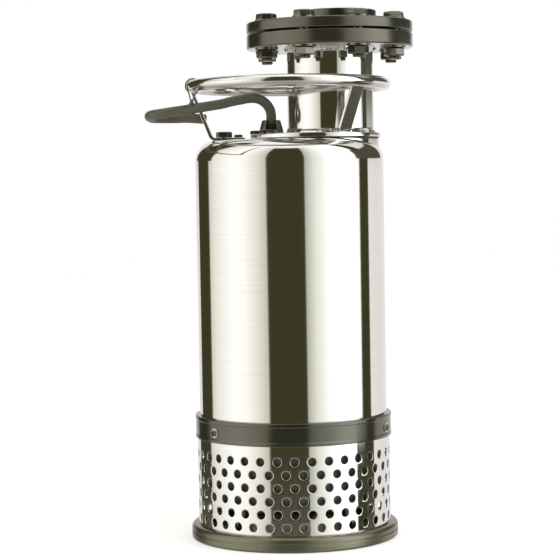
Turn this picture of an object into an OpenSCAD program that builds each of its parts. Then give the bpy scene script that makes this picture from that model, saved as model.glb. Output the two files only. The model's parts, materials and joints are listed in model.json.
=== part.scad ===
// Portable drainage pump: a strainer foot, a wet-end casing, a submersible motor
// inside a stainless water jacket, a flanged discharge and a lifting ring on top.
// Millimetres, +Z up, origin on the shaft axis at the underside of the base.
// The discharge lies towards +X.

/* [Base and strainer] */
// Height of the base
base_h = 20; // [18:0.5:26]
// Thickness of the base's floor
base_floor = 8; // [6:0.5:9]
// How far the base stands out past the strainer
base_lip = 9.5; // [8:0.5:16]
// Visible height of the strainer
strainer_h = 115; // [112:1:150]
// Thickness of the strainer's sheet
strainer_t = 2; // [1.5:0.1:2.5]
// Diameter of one strainer hole
hole_d = 11; // [6:0.5:13]
// Holes in one row
holes_per_row = 36; // [24:2:38]
// Rows of holes
hole_rows = 6; // [3:1:6]
// Height between two rows
row_pitch = 17; // [15:0.5:18]
// Height of the lowest row above the base
first_row = 10; // [8:0.5:14]

/* [Joint band] */
// Height of the band
band_h = 30; // [28:1:36]
// Thickness of the band
band_t = 2.4; // [2:0.1:4]
// Thickness of the lip that holds the shell's foot down
band_lip = 4; // [3:0.5:5]
// Number of band screws
band_screw_count = 3; // [3:1:6]
// Direction of the first band screw
band_screw_turn = -141.8; // [-180:0.1:180]
// Height of the band screws above the band's lower edge
band_screw_z = 13; // [8:0.5:14]

/* [Outer shell] */
// Outer diameter of the shell
shell_d = 250; // [246:1:270]
// Thickness of the shell
shell_t = 3; // [2:0.5:4]
// Visible height of the shell
shell_h = 363; // [355:1:400]
// Radius of the shoulder
shoulder_r = 28; // [20:1:32]
// Step from the shell out to the strainer
strainer_step = 3.5; // [3:0.1:5]

/* [Discharge] */
// Distance of the discharge cover's centre from the shaft axis
cover_x = 35; // [33:0.5:36]
// Diameter of the discharge cover
cover_d = 174; // [172:1:178]
// Thickness of the discharge cover
cover_t = 6; // [4:0.5:10]
// Thickness of the cover's gasket
cover_gasket_t = 1.5; // [1:0.1:3]
// Outer diameter of the neck ring under the cover
neck_d = 170; // [168:0.5:171]
// Inner diameter of the neck ring
neck_bore = 145; // [145:0.5:148]
// Depth of the neck ring
neck_h = 20; // [18:0.5:24]
// Number of cover bolts
cover_bolt_count = 9; // [7:1:9]
// Distance of the pipe's axis from the shaft axis
pipe_x = 56; // [54:0.5:57]
// Outer diameter of the pipe
pipe_d = 114.3; // [108:0.1:116]
// Wall of the pipe
pipe_t = 3.6; // [2.5:0.1:5]
// Height from the cover to the discharge flange
pipe_h = 111.5; // [100:0.5:140]
// Diameter of the flanges
flange_d = 220; // [215:1:240]
// Thickness of the discharge flange
flange_t = 19; // [16:0.5:24]
// Thickness of the flange gasket
flange_gasket_t = 2; // [1:0.5:4]
// Thickness of the counter flange
counter_t = 14; // [12:0.5:20]
// Bolt circle of the flanges
flange_pcd = 180; // [176:1:184]
// Number of flange bolts
flange_bolt_count = 8; // [4:4:8]
// Diameter of the flange bolts
flange_bolt_d = 16; // [12:1:16]
// Diameter of the threaded port
port_d = 85; // [80:0.5:90]
// Wall of the hub around the port
hub_wall = 8.8; // [7:0.1:10]
// Height of the hub
hub_h = 15; // [10:0.5:25]

/* [Lifting ring] */
// Radius of the ring's centreline
ring_r = 128; // [126:1:136]
// Diameter of the ring's bar
ring_bar_d = 16; // [12:0.5:20]
// Height of the ring's centre above the shell's top
ring_z = 72; // [66:1:90]
// Width of the legs
leg_w = 22; // [16:1:24]
// Thickness of the legs
leg_t = 4; // [3:0.5:6]
// Distance of a leg's lower end from the shaft axis
leg_foot_r = 102; // [100:0.5:103]
// Direction of the front and rear legs from the discharge side
leg_turn = 46; // [44:0.5:48]

/* [Motor] */
// Inner diameter of the motor housing
housing_bore = 190; // [188:1:192]
// Wall of the motor housing
housing_t = 8; // [7:0.5:9]
// Length of the stator core
stator_len = 150; // [130:1:155]
// Height of each end winding
winding_h = 35; // [28:1:36]
// Diameter of the rotor
rotor_d = 114; // [104:1:118]
// Air gap between rotor and stator
air_gap = 0.5; // [0.3:0.1:1]
// Diameter of the shaft in the rotor
shaft_d = 48; // [46:1:52]
// Height of the motor cap
cap_h = 20; // [18:1:22]
// Thickness of the motor cap's top
cap_t = 8; // [6:0.5:10]

/* [Wet end] */
// Diameter of the impeller
impeller_d = 170; // [160:1:172]
// Height of the impeller's passages
vane_h = 22; // [16:1:24]
// Number of impeller blades
blade_count = 6; // [4:1:7]
// Diameter of the impeller's eye
eye_d = 80; // [74:1:82]
// Wall of the pump casing
casing_wall = 10; // [9:0.5:12]
// Number of guide vanes in the casing
guide_count = 8; // [6:1:10]
// Height of the oil chamber
oil_h = 56; // [52:1:58]

/* [Cable] */
// Diameter of the cable
cable_d = 13; // [11:0.5:13]

/* [Hidden] */
$fn = 96;

// Clearances
fit = 0.1;
run_gap = 0.4;
film = 0.05;
thread_fit = 0.05;
hole_fit = 0.5;
eps = 1;

// Screw sizes: radius, head radius or width across flats, head height
m5_r = 2.5;
m5_head_r = 4.25;
m5_head_h = 5;
m6_r = 3;
m6_head_r = 5;
m6_head_h = 6;
m8_r = 4;
m8_flats = 13;
m8_head_h = 5.3;
m12_r = 6;
m12_flats = 19;
m12_head_h = 8;
m6_flats = 10;
m6_hex_h = 4;
m16_flats = 24;
m16_head_h = 10;
m16_nut_h = 13;

// Radii from the shell outwards
shell_r = shell_d / 2;
shell_ri = shell_r - shell_t;
strainer_r = shell_r + strainer_step;
strainer_ri = strainer_r - strainer_t;
base_r = strainer_r + base_lip;
band_ri = strainer_r + fit;
band_r = band_ri + band_t;
foot_t = shell_t;

// Heights of the outer pieces
z_band0 = base_h + strainer_h;
z_band1 = z_band0 + band_h;
z_top = z_band1 + shell_h;
z_foot1 = z_band1 - band_lip;
z_rim = z_foot1 - foot_t;
rim_t = 4;
z_strainer1 = z_rim - rim_t;
groove_depth = 8;
z_strainer0 = base_h - groove_depth;
z_cover0 = z_top + cover_gasket_t;
z_cover1 = z_cover0 + cover_t;
z_flange0 = z_cover1 + pipe_h;
z_flange1 = z_flange0 + flange_t;
z_counter0 = z_flange1 + flange_gasket_t;
z_counter1 = z_counter0 + counter_t;
z_hub1 = z_counter1 + hub_h;
z_ring = z_top + ring_z;

// Base
rim_w = 10;
rim_ri = strainer_ri - rim_w;
lip_round = 6;
foot_round = 3;
line_z = 9;
line_h = 1.6;
line_depth = 1.2;
pillar_count = 4;
pillar_turn = 180 / pillar_count;
pillar_r = 9;
pillar_inset = 26;
pillar_pcd_r = strainer_ri - pillar_inset;
pillar_stud_r = 4;
csk_r = 8;
csk_h = 4;
csk_sink = 0.3;
csk_slope = csk_h / (csk_r - m8_r);
csk_head_r = csk_r - csk_sink / csk_slope - fit;
base_screw_l = 17;
pillar_tap = 11;

// Band screws
band_screw_l = 16;
band_head_h = 3;
socket_flats = 4.5;
socket_depth = 1.8;
band_drill = 20;

// Bearings: bore radius, outer radius, width, ball circle radius, ball radius, balls
low_bearing = [20, 45, 23, 32.5, 7.5, 8];
up_bearing = [15, 36, 19, 25.5, 6.1, 8];
ring_share = 0.34;
cage_t = 2;
cage_post_r = 1.6;
bearing_step = 5;
hub_wall_t = 12;
retainer_t = 4;

// Motor, hung from the shell's top and stacked downwards
cap_room = 29;
bracket_t = 10;
winding_gap = 10;
z_cap1 = z_top - cap_room;
z_cap0 = z_cap1 - cap_h;
z_housing1 = z_cap0 - bracket_t;
z_up1 = z_housing1 - bearing_step;
z_up0 = z_up1 - up_bearing[2];
z_stator1 = z_up0 - winding_gap - winding_h;
z_stator0 = z_stator1 - stator_len;
z_low1 = z_stator0 - winding_h - winding_gap - retainer_t;
z_low0 = z_low1 - low_bearing[2];
z_bracket0 = z_low0 - bearing_step;
z_housing0 = z_bracket0 + bracket_t;
spigot_h = 7;
housing_ri = housing_bore / 2;
housing_r = housing_ri + housing_t;
motor_screw_count = 8;
motor_screw_turn = 180 / motor_screw_count;
motor_screw_r = housing_r - housing_t / 2;
motor_screw_grip = 15;
cap_wall = 10;
rotor_r = rotor_d / 2;
stator_ri = rotor_r + air_gap;
end_ring_h = 8;
end_ring_in = 18;
end_ring_step = 1;
winding_in = 4;
winding_out = 5;
winding_round = 6;
wire_hole_r = 7;
wire_hole_at = [-62, 30];

// Casing's outer wall, set by the strainer and the shell
casing_gap = 6.5;
casing_r = strainer_ri - casing_gap;
casing_ri = casing_r - casing_wall;
jacket_gap = 0.3;
lip_t = 5.7;
lip_r = shell_ri - jacket_gap;
lip_ri = lip_r - lip_t;
cone_drop = 15;
cone_h = 16;
z_cone0 = z_band0 - cone_drop;
z_cone1 = z_cone0 + cone_h;
spigot_drop = 4;
z_spigot = z_band0 - spigot_drop;
lip_h = 18;
oring_r = 1.5;
oring_rise = 11;
z_oring = z_rim + oring_rise;

// Oil chamber under the motor, in the hub that the guide vanes carry
oil_flange_t = 8;
z_hub = z_bracket0 - oil_flange_t;
guide_w = 10;
guide_t = 5;
guide_drop = 7;
hub_t = 12;
hub_r = casing_ri - guide_w;
hub_ri = hub_r - hub_t;
oil_wall = 8;
oil_web = 16;
skin = 0.5;
seat_r = 25;
seat_ri = 17;
seat_h = 7;
z_seat_up = z_hub - oil_web;
passage_r = 20;
z_oil0 = z_hub - oil_h;
seal_plate_t = 8;
z_plate0 = z_oil0 - seal_plate_t;
casing_screw_count = 6;
casing_screw_r = (hub_ri + hub_r) / 2;

// Impeller and suction cover under the seal plate
back_gap = 2;
back_shroud = 5;
front_shroud = 4;
neck_len = 8;
front_gap = 2;
cover_plate_t = 8;
impeller_r = impeller_d / 2;
z_imp1 = z_plate0 - back_gap;
z_blade1 = z_imp1 - back_shroud;
z_blade0 = z_blade1 - vane_h;
z_imp0 = z_blade0 - front_shroud;
z_suction1 = z_imp0 - front_gap;
z_suction0 = z_suction1 - cover_plate_t;
eye_r = eye_d / 2;
eye_wall = 4.6;
wear_ri = eye_r + eye_wall + run_gap;
wear_t = 5;
suction_screw_count = 6;
suction_screw_r = (casing_r + casing_ri) / 2;
suction_screw_l = 22;
impeller_hub_r = 19;
nut_flats = 24;
nut_h = 13;
hub_step = 2;
z_imp_hub = z_blade0 + hub_step;
blade_bend_r = 62;
blade_sag = 0.72 * blade_bend_r;
blade_root = 0.4 * blade_bend_r;
blade_t = 5;
tip_gap = 0.5;
key_w = 8;
key_h = 7;
key_len = 20;
key_step = 2;

// Shaft
seal_shaft_r = 16;
impeller_shaft_r = 12.5;
thread_r = 8;
shaft_tail = 3;
shaft_end = 1;
shaft_r = shaft_d / 2;
seal_face_h = 9;
seal_face_r = 26;
spring_r = 22;
spring_wire = 1.5;
spring_turns = 4;
spring_steps = 14;
spring_sides = 8;

// Discharge
cover_r = cover_d / 2;
neck_r = neck_d / 2;
neck_ri = neck_bore / 2;
cover_bolt_r = (neck_r + neck_ri) / 2;
cover_bolt_gap = 45;
cover_bolt_l = 22;
pipe_r = pipe_d / 2;
pipe_ri = pipe_r - pipe_t;
weld_step = 3;
port_r = port_d / 2;
hub_r_out = port_r + hub_wall;
hub_x = pipe_x + pipe_ri - port_r;
flange_r = flange_d / 2;
flange_hole_r = flange_bolt_d / 2 + 1;
bolt_tail = 4;

// Lifting ring and legs
ring_bar_r = ring_bar_d / 2;
leg_bolt_in = 16;
leg_screw_in = 35;
tab_len = 44;
leg_bolt_x = leg_bolt_in - leg_foot_r;
leg_screw_x = leg_screw_in - leg_foot_r;
tab_end = leg_foot_r - tab_len;
boss_r = 11;
small_boss_r = 7;
leg_thread_l = 18;

// Cable entry
gland_at = [-23, -12];
duct_ri = 9;
duct_r = 13;
gland_flange_r = 16;
gland_flange_h = 6;
gland_tube_h = 8;
gland_seal_r = 9.5;
gland_tube_r = 11;
gland_stub = 16;
gland_cone_r = [15.5, 12];
gland_nut_h = 12.5;
cable_r = cable_d / 2;
z_gland = z_cover1 + gland_flange_h;
z_exit = z_gland + gland_nut_h;
core_end_gap = 2;
gland_shelf = 1.5;
gland_pass = 0.3;
seal_proud = 0.4;

// Route of the free cable, from the gland's top
cable_route = [
    [-23, -12, 554], [-23, -12, 561], [-25, -13, 569], [-31, -16, 577], [-40, -19, 582],
    [-51, -21, 583], [-63, -22, 581], [-75, -21, 579], [-88, -20, 576], [-101, -20, 574],
    [-114, -21, 572], [-127, -26, 570], [-139, -33, 568], [-152, -39, 566], [-166, -38, 564],
    [-177, -30, 563], [-183, -17, 562], [-184, -3, 561], [-181, 11, 560], [-173, 22, 560],
    [-162, 29, 560], [-149, 30, 560], [-136, 27, 560], [-123, 23, 559], [-111, 21, 558]
];
cable_sides = 12;

// Tie that hangs the cable from the ring
tie_index = 11;
tie_w = 2.4;
tie_t = 2;
tie_slack = 0.4;
knot_r = 3.5;
knot_sink = 1;
tie_sides = 32;

// A tube between two heights
module tube(ro, ri, z0, z1) {
    translate([0, 0, z0]) difference() {
        cylinder(r = ro, h = z1 - z0);
        translate([0, 0, -eps]) cylinder(r = ri, h = z1 - z0 + 2 * eps);
    }
}

// A round bar between two heights
module rod(r, z0, z1) {
    translate([0, 0, z0]) cylinder(r = r, h = z1 - z0);
}

// A hexagonal prism across its flats
module hex(flats, h) {
    cylinder(d = flats / cos(30), h = h, $fn = 6);
}

// Copies on a full circle
module around(count, r, turn = 0) {
    for (i = [0 : count - 1]) rotate([0, 0, turn + i * 360 / count]) translate([r, 0, 0]) children();
}

// A rectangle with round corners, from its lower left corner
module round_rect(w, h, r) {
    translate([r, 0]) square([w - 2 * r, h]);
    translate([0, r]) square([w, h - 2 * r]);
    for (x = [r, w - r], y = [r, h - r]) translate([x, y]) circle(r);
}

// Base

module base_section() {
    difference() {
        union() {
            square([rim_ri + eps, base_floor]);
            translate([rim_ri, 0]) square([base_r - rim_ri - lip_round, base_h]);
            translate([rim_ri, foot_round]) square([base_r - rim_ri, base_h - foot_round - lip_round]);
            translate([base_r - lip_round, base_h - lip_round]) circle(lip_round);
            translate([rim_ri, 0]) square([base_r - rim_ri - foot_round, base_h / 2]);
            translate([base_r - foot_round, foot_round]) circle(foot_round);
        }
        translate([strainer_ri - fit, z_strainer0]) square([strainer_t + 2 * fit, groove_depth + eps]);
        translate([base_r - line_depth, line_z]) square([line_depth + eps, line_h]);
    }
}

module pillar_places() {
    around(pillar_count, pillar_pcd_r, pillar_turn) children();
}

module base_plate() {
    color("dimgray") difference() {
        rotate_extrude() base_section();
        pillar_places() {
            translate([0, 0, -eps]) cylinder(r = m8_r + thread_fit, h = base_floor + 2 * eps);
            cylinder(r1 = csk_r, r2 = m8_r, h = csk_h);
        }
    }
}

module base_pillars() {
    color("silver") pillar_places() difference() {
        union() {
            rod(pillar_r, base_floor, z_suction0);
            rod(pillar_stud_r, z_suction0 - eps, z_suction1);
        }
        rod(m8_r + thread_fit, base_floor - eps, base_floor + pillar_tap);
    }
}

module base_screws() {
    color("gray") pillar_places() {
        translate([0, 0, csk_sink]) cylinder(r1 = csk_head_r, r2 = m8_r, h = (csk_head_r - m8_r) * csk_slope);
        rod(m8_r, csk_sink, base_screw_l);
    }
}

module strainer() {
    drill = 4 * strainer_t;
    color("silver") difference() {
        tube(strainer_r, strainer_ri, z_strainer0, z_strainer1);
        for (row = [0 : hole_rows - 1])
            translate([0, 0, base_h + first_row + row * row_pitch])
                around(holes_per_row, strainer_ri - strainer_t, -90 + (row + 1) % 2 * 180 / holes_per_row)
                    rotate([0, 90, 0]) cylinder(d = hole_d, h = drill);
        band_screw_places() rotate([0, 90, 0]) cylinder(r = m6_r + hole_fit, h = band_drill);
    }
}

// Joint between strainer, casing and shell

module band_screw_places() {
    translate([0, 0, z_band0 + band_screw_z])
        around(band_screw_count, strainer_ri - strainer_t, band_screw_turn) children();
}

module joint_band() {
    color("#3a3a3c") difference() {
        union() {
            tube(band_r, band_ri, z_band0, z_band1);
            tube(band_r, shell_r + fit, z_foot1, z_band1);
        }
        band_screw_places() rotate([0, 90, 0]) cylinder(r = m6_r + hole_fit, h = band_drill);
    }
}

module band_screws() {
    color("gray") translate([0, 0, z_band0 + band_screw_z])
        around(band_screw_count, band_r, band_screw_turn) rotate([0, 90, 0]) difference() {
            union() {
                cylinder(r = m6_head_r, h = band_head_h);
                translate([0, 0, -band_screw_l]) cylinder(r = m6_r, h = band_screw_l + eps);
            }
            translate([0, 0, band_head_h - socket_depth]) hex(socket_flats, socket_depth + eps);
        }
}

// Casing: a bowl round the impeller, guide vanes and a hub for the motor

module casing_outer_section() {
    polygon([
        [casing_ri, z_suction1], [casing_r, z_suction1],
        [casing_r, z_cone1], [lip_ri, z_cone1], [casing_ri, z_cone0]
    ]);
    translate([lip_ri, z_spigot]) square([strainer_ri - fit - lip_ri, z_rim - z_spigot]);
    translate([lip_ri, z_strainer1]) square([strainer_r - lip_ri, z_rim - z_strainer1]);
    translate([lip_ri, z_rim - eps]) square([lip_r - lip_ri, lip_h + eps]);
}

module pump_casing() {
    color("#3c4042") difference() {
        union() {
            rotate_extrude() casing_outer_section();
            tube(hub_r, hub_ri, z_oil0, z_hub);
            for (i = [0 : guide_count - 1]) rotate([0, 0, (i + 0.5) * 360 / guide_count])
                translate([hub_r - eps, -guide_t / 2, z_oil0])
                    cube([lip_ri - hub_r + 2 * eps, guide_t, z_hub - guide_drop - z_oil0]);
        }
        translate([0, 0, z_oring]) rotate_extrude()
            translate([lip_r - 2 * oring_r + fit, -oring_r - fit])
                square([2 * oring_r + eps, 2 * (oring_r + fit)]);
        around(casing_screw_count, casing_screw_r) rod(m6_r + hole_fit, z_oil0 - eps, z_hub + eps);
        around(suction_screw_count, suction_screw_r)
            rod(m5_r + thread_fit, z_suction1 - eps, z_suction0 + suction_screw_l + eps);
        band_screw_holes();
    }
}

module band_screw_holes() {
    translate([0, 0, z_band0 + band_screw_z])
        around(band_screw_count, band_r - band_screw_l - eps, band_screw_turn)
            rotate([0, 90, 0]) cylinder(r = m6_r + thread_fit, h = band_screw_l);
}

module suction_cover() {
    color("#3c4042") difference() {
        tube(casing_r, wear_ri + wear_t + thread_fit, z_suction0, z_suction1);
        around(suction_screw_count, suction_screw_r)
            rod(m5_r + hole_fit, z_suction0 - eps, z_suction1 + eps);
        pillar_places()
            rod(pillar_stud_r + thread_fit, z_suction0 - eps, z_suction1 + eps);
    }
}

module wear_ring() {
    color("peru") tube(wear_ri + wear_t, wear_ri, z_suction0, z_suction1);
}

module suction_screws() {
    color("gray") around(suction_screw_count, suction_screw_r) {
        rod(m5_head_r, z_suction0 - m5_head_h, z_suction0);
        rod(m5_r, z_suction0 - eps, z_suction0 + suction_screw_l);
    }
}

// Water jacket

module dome_section(r, corner, z0, z1) {
    translate([0, z0]) square([r, z1 - z0 - corner]);
    translate([0, z0]) square([r - corner, z1 - z0]);
    translate([r - corner, z1 - corner]) circle(corner);
}

module outer_shell() {
    color("gainsboro") difference() {
        rotate_extrude() {
            difference() {
                dome_section(shell_r, shoulder_r, z_rim, z_top);
                dome_section(shell_ri, shoulder_r - shell_t, z_rim - eps, z_top - shell_t);
            }
            translate([shell_ri, z_rim]) square([strainer_r - shell_ri, foot_t]);
        }
        translate([cover_x, 0, 0]) rod(neck_r + fit, z_top - shoulder_r - neck_h, z_top + eps);
        translate([leg_bolt_x, 0, 0]) rod(m12_r + hole_fit, z_top - 2 * shell_t, z_top + eps);
        translate([leg_screw_x, 0, 0]) rod(m6_r + hole_fit, z_top - 2 * shell_t, z_top + eps);
    }
}

module shell_oring() {
    color("black") translate([0, 0, z_oring]) rotate_extrude()
        translate([shell_ri - oring_r - film, 0]) circle(oring_r);
}

// Discharge

module cover_bolt_places() {
    step = (360 - 2 * cover_bolt_gap) / (cover_bolt_count - 1);
    translate([cover_x, 0, 0]) for (i = [0 : cover_bolt_count - 1])
        rotate([0, 0, cover_bolt_gap + i * step]) translate([cover_bolt_r, 0, 0]) children();
}

module neck_ring() {
    color("gainsboro") difference() {
        translate([cover_x, 0, 0]) tube(neck_r, neck_ri, z_top - neck_h, z_top);
        cover_bolt_places() rod(m8_r + thread_fit, z_cover1 - cover_bolt_l - eps, z_top + eps);
    }
}

module cover_gasket() {
    color("#222222") difference() {
        translate([cover_x, 0, 0]) tube(neck_r, neck_ri, z_top, z_cover0);
        cover_bolt_places() rod(m8_r + hole_fit, z_top - eps, z_cover0 + eps);
    }
}

module discharge_cover() {
    color("gainsboro") difference() {
        translate([cover_x, 0, 0]) rod(cover_r, z_cover0, z_cover1);
        translate([pipe_x, 0, 0]) rod(pipe_ri, z_cover0 - eps, z_cover1 + eps);
        translate(gland_at) rod(duct_ri, z_cover0 - eps, z_cover1 + eps);
        cover_bolt_places() rod(m8_r + hole_fit, z_cover0 - eps, z_cover1 + eps);
    }
}

module cover_bolts() {
    color("gray") cover_bolt_places() {
        translate([0, 0, z_cover1]) hex(m8_flats, m8_head_h);
        rod(m8_r, z_cover1 - cover_bolt_l, z_cover1 + eps);
    }
}

module discharge_pipe() {
    color("gainsboro") translate([pipe_x, 0, 0]) tube(pipe_r, pipe_ri, z_cover1, z_flange1 - weld_step);
}

module flange_bolt_places() {
    translate([pipe_x, 0, 0]) around(flange_bolt_count, flange_pcd / 2, 180 / flange_bolt_count) children();
}

module discharge_flange() {
    color("#3b3d34") difference() {
        translate([pipe_x, 0, 0]) tube(flange_r, pipe_r + film, z_flange0, z_flange1);
        flange_bolt_places() rod(flange_hole_r, z_flange0 - eps, z_flange1 + eps);
    }
}

module flange_gasket() {
    color("#222222") translate([pipe_x, 0, 0])
        tube(flange_pcd / 2 - flange_hole_r, pipe_r, z_flange1, z_counter0);
}

module counter_flange() {
    color("#3b3d34") difference() {
        union() {
            translate([pipe_x, 0, 0]) rod(flange_r, z_counter0, z_counter1);
            translate([hub_x, 0, 0]) rod(hub_r_out, z_counter0, z_hub1);
        }
        translate([hub_x, 0, 0]) rod(port_r, z_counter0 - eps, z_hub1 + eps);
        flange_bolt_places() rod(flange_hole_r, z_counter0 - eps, z_counter1 + eps);
    }
}

module flange_bolts() {
    color("#55564c") flange_bolt_places() {
        translate([0, 0, z_counter1]) hex(m16_flats, m16_head_h);
        rod(flange_bolt_d / 2, z_flange0 - m16_nut_h - bolt_tail, z_counter1 + eps);
    }
}

module flange_nuts() {
    color("#55564c") flange_bolt_places() difference() {
        translate([0, 0, z_flange0 - m16_nut_h]) hex(m16_flats, m16_nut_h);
        rod(flange_bolt_d / 2 + thread_fit, z_flange0 - m16_nut_h - eps, z_flange0 + eps);
    }
}

// Lifting ring and its legs

module lifting_ring() {
    color("gainsboro") translate([0, 0, z_ring]) rotate_extrude() translate([ring_r, 0]) circle(ring_bar_r);
}

module ring_clearance() {
    translate([0, 0, z_ring]) rotate_extrude() translate([ring_r, 0]) circle(ring_bar_r + film);
}

// A strap in the radial plane, from its foot up to the underside of the ring
module leg_section(z0) {
    h = leg_t / 2;
    polygon([
        [leg_foot_r - h, z0], [leg_foot_r + h, z0],
        [ring_r + h, z_ring - ring_bar_r / 2], [ring_r - h, z_ring - ring_bar_r / 2]
    ]);
}

module strap(w) {
    rotate([90, 0, 0]) translate([0, 0, -w / 2]) linear_extrude(w) children();
}

module left_leg() {
    color("gainsboro") rotate([0, 0, 180]) difference() {
        strap(leg_w) {
            leg_section(z_top);
            translate([tab_end, z_top]) square([leg_foot_r - tab_end, leg_t]);
        }
        ring_clearance();
        translate([-leg_bolt_x, 0, 0]) rod(m12_r + hole_fit, z_top - eps, z_top + leg_t + eps);
        translate([-leg_screw_x, 0, 0]) rod(m6_r + hole_fit, z_top - eps, z_top + leg_t + eps);
    }
}

module cover_leg(turn) {
    rotate([0, 0, turn]) difference() {
        strap(leg_w) leg_section(z_cover1);
        ring_clearance();
    }
}

module front_leg() {
    color("gainsboro") cover_leg(-leg_turn);
}

module rear_leg() {
    color("gainsboro") cover_leg(leg_turn);
}

module leg_bolts() {
    z_tab = z_top + leg_t;
    color("gray") {
        translate([leg_bolt_x, 0, 0]) {
            translate([0, 0, z_tab]) hex(m12_flats, m12_head_h);
            rod(m12_r, z_top - shell_t - leg_thread_l, z_tab + eps);
        }
        translate([leg_screw_x, 0, 0]) {
            translate([0, 0, z_tab]) hex(m6_flats, m6_hex_h);
            rod(m6_r, z_top - shell_t - leg_thread_l, z_tab + eps);
        }
    }
}

// Cable entry

module gland_body() {
    color("#4a4b48") translate(gland_at) difference() {
        union() {
            rod(gland_flange_r, z_cover1, z_gland);
            rod(gland_tube_r, z_gland - eps, z_gland + gland_tube_h);
            rod(duct_ri - film, z_cover1 - gland_stub, z_cover1 + eps);
        }
        rod(cable_r + gland_pass, z_cover1 - gland_stub - eps, z_gland + gland_tube_h + eps);
        rod(gland_seal_r + film, z_cover1 + gland_shelf, z_gland + gland_tube_h + eps);
    }
}

module gland_seal() {
    color("black") translate(gland_at)
        tube(gland_seal_r, cable_r + film, z_cover1 + gland_shelf, z_gland + gland_tube_h + seal_proud);
}

module gland_nut() {
    color("#4a4b48") translate(gland_at) difference() {
        translate([0, 0, z_gland]) cylinder(r1 = gland_cone_r[0], r2 = gland_cone_r[1], h = gland_nut_h);
        rod(gland_tube_r + fit, z_gland - eps, z_gland + gland_tube_h + seal_proud);
        rod(cable_r + gland_pass, z_gland - eps, z_exit + eps);
    }
}

module cable_core() {
    color("#26241d") translate(gland_at) rod(cable_r, z_cap0 + core_end_gap, z_exit);
}

module cable_duct() {
    color("silver") translate(gland_at) tube(duct_r, duct_ri, z_cap1 - cap_t, z_cover0);
}

// Unit vector and frame along the route
function unit(v) = v / norm(v);
function lifted_route() = [for (p = cable_route) [p.x, p.y, p.z - cable_route[0].z + z_exit]];
function route_dir(p, i) = unit(p[min(i + 1, len(p) - 1)] - p[max(i - 1, 0)]);

// Side directions carried along the route, so that the tube isn't twisted
function carried(p, i, prev) = let (d = route_dir(p, i)) unit(prev - d * (prev * d));
function sides_along(p, i = 0, prev = [0, 1, 0]) =
    i == len(p) ? [] : let (s = carried(p, i, prev)) concat([s], sides_along(p, i + 1, s));

// A tube of n sides swept along points, with a side direction at each of them
module swept_tube(p, sides, r, n) {
    rings = len(p);
    points = [
        for (i = [0 : rings - 1]) let (s = sides[i], t = unit(cross(route_dir(p, i), s)))
            for (k = [0 : n - 1]) p[i] + r * (cos(360 * k / n) * s + sin(360 * k / n) * t)
    ];
    walls = [
        for (i = [0 : rings - 2]) for (k = [0 : n - 1]) let (a = i * n + k, b = i * n + (k + 1) % n)
            each [[a, a + n, b], [b, a + n, b + n]]
    ];
    start = [for (k = [0 : n - 1]) k];
    end = [for (k = [n - 1 : -1 : 0]) (rings - 1) * n + k];
    polyhedron(points, concat(walls, [start], [end]));
}

module power_cable() {
    p = lifted_route();
    color("#26241d") swept_tube(p, sides_along(p), cable_r, cable_sides);
}

module cable_tie() {
    p = lifted_route();
    at = p[tie_index];
    d = route_dir(p, tie_index);
    ring_x = -sqrt(ring_r * ring_r - at.y * at.y);
    inner_r = cable_r + tie_slack;
    knot_z = at.z + inner_r + tie_t + knot_r - knot_sink;
    color("#4b463c") union() {
        translate([0, at.y + tie_w / 2, 0]) rotate([90, 0, 0]) linear_extrude(tie_w) difference() {
            hull() {
                translate([ring_x, z_ring]) circle(ring_bar_r + tie_slack + tie_t, $fn = tie_sides);
                translate([at.x, knot_z]) circle(knot_r, $fn = tie_sides);
            }
            hull() {
                translate([ring_x, z_ring]) circle(ring_bar_r + tie_slack, $fn = tie_sides);
                translate([at.x, knot_z + knot_r]) circle(knot_r / 4, $fn = tie_sides);
            }
        }
        translate(at) rotate([0, 0, atan2(d.y, d.x)]) rotate([0, 90 - asin(d.z), 0])
            translate([0, 0, -tie_w / 2]) tube(inner_r + tie_t, inner_r, 0, tie_w);
    }
}

// Motor

module motor_screw_places() {
    around(motor_screw_count, motor_screw_r, motor_screw_turn) children();
}

module motor_housing() {
    color("#5b6670") difference() {
        tube(housing_r, housing_ri, z_housing0, z_housing1);
        motor_screw_places() {
            rod(m5_r + thread_fit, z_housing0 - eps, z_housing0 + motor_screw_grip);
            rod(m5_r + thread_fit, z_housing1 - motor_screw_grip, z_housing1 + eps);
        }
    }
}

module stator_core() {
    color("slategray") tube(housing_ri - film, stator_ri, z_stator0, z_stator1);
}

module end_windings() {
    color("chocolate") for (z = [z_stator0 - winding_h, z_stator1]) translate([0, 0, z]) rotate_extrude()
        translate([stator_ri + winding_in, 0])
            round_rect(housing_ri - winding_out - stator_ri - winding_in, winding_h, winding_round);
}

module lower_bracket() {
    color("#5b6670") difference() {
        union() {
            rod(housing_r, z_bracket0, z_housing0);
            rod(housing_ri - film, z_bracket0, z_housing0 + spigot_h);
            rod(low_bearing[1] + hub_wall_t, z_bracket0, z_low1);
        }
        rod(low_bearing[1] + film, z_low0, z_low1 + eps);
        rod(passage_r + run_gap, z_bracket0 - eps, z_low1);
        tube(housing_ri - hub_wall_t, low_bearing[1] + hub_wall_t, z_housing0, z_housing0 + spigot_h + eps);
        motor_screw_places() rod(m5_r + hole_fit, z_bracket0 - eps, z_housing0 + eps);
    }
}

module bearing_retainer() {
    color("silver") tube(low_bearing[1] + hub_wall_t, ball_edge(low_bearing), z_low1, z_low1 + retainer_t);
}

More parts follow.
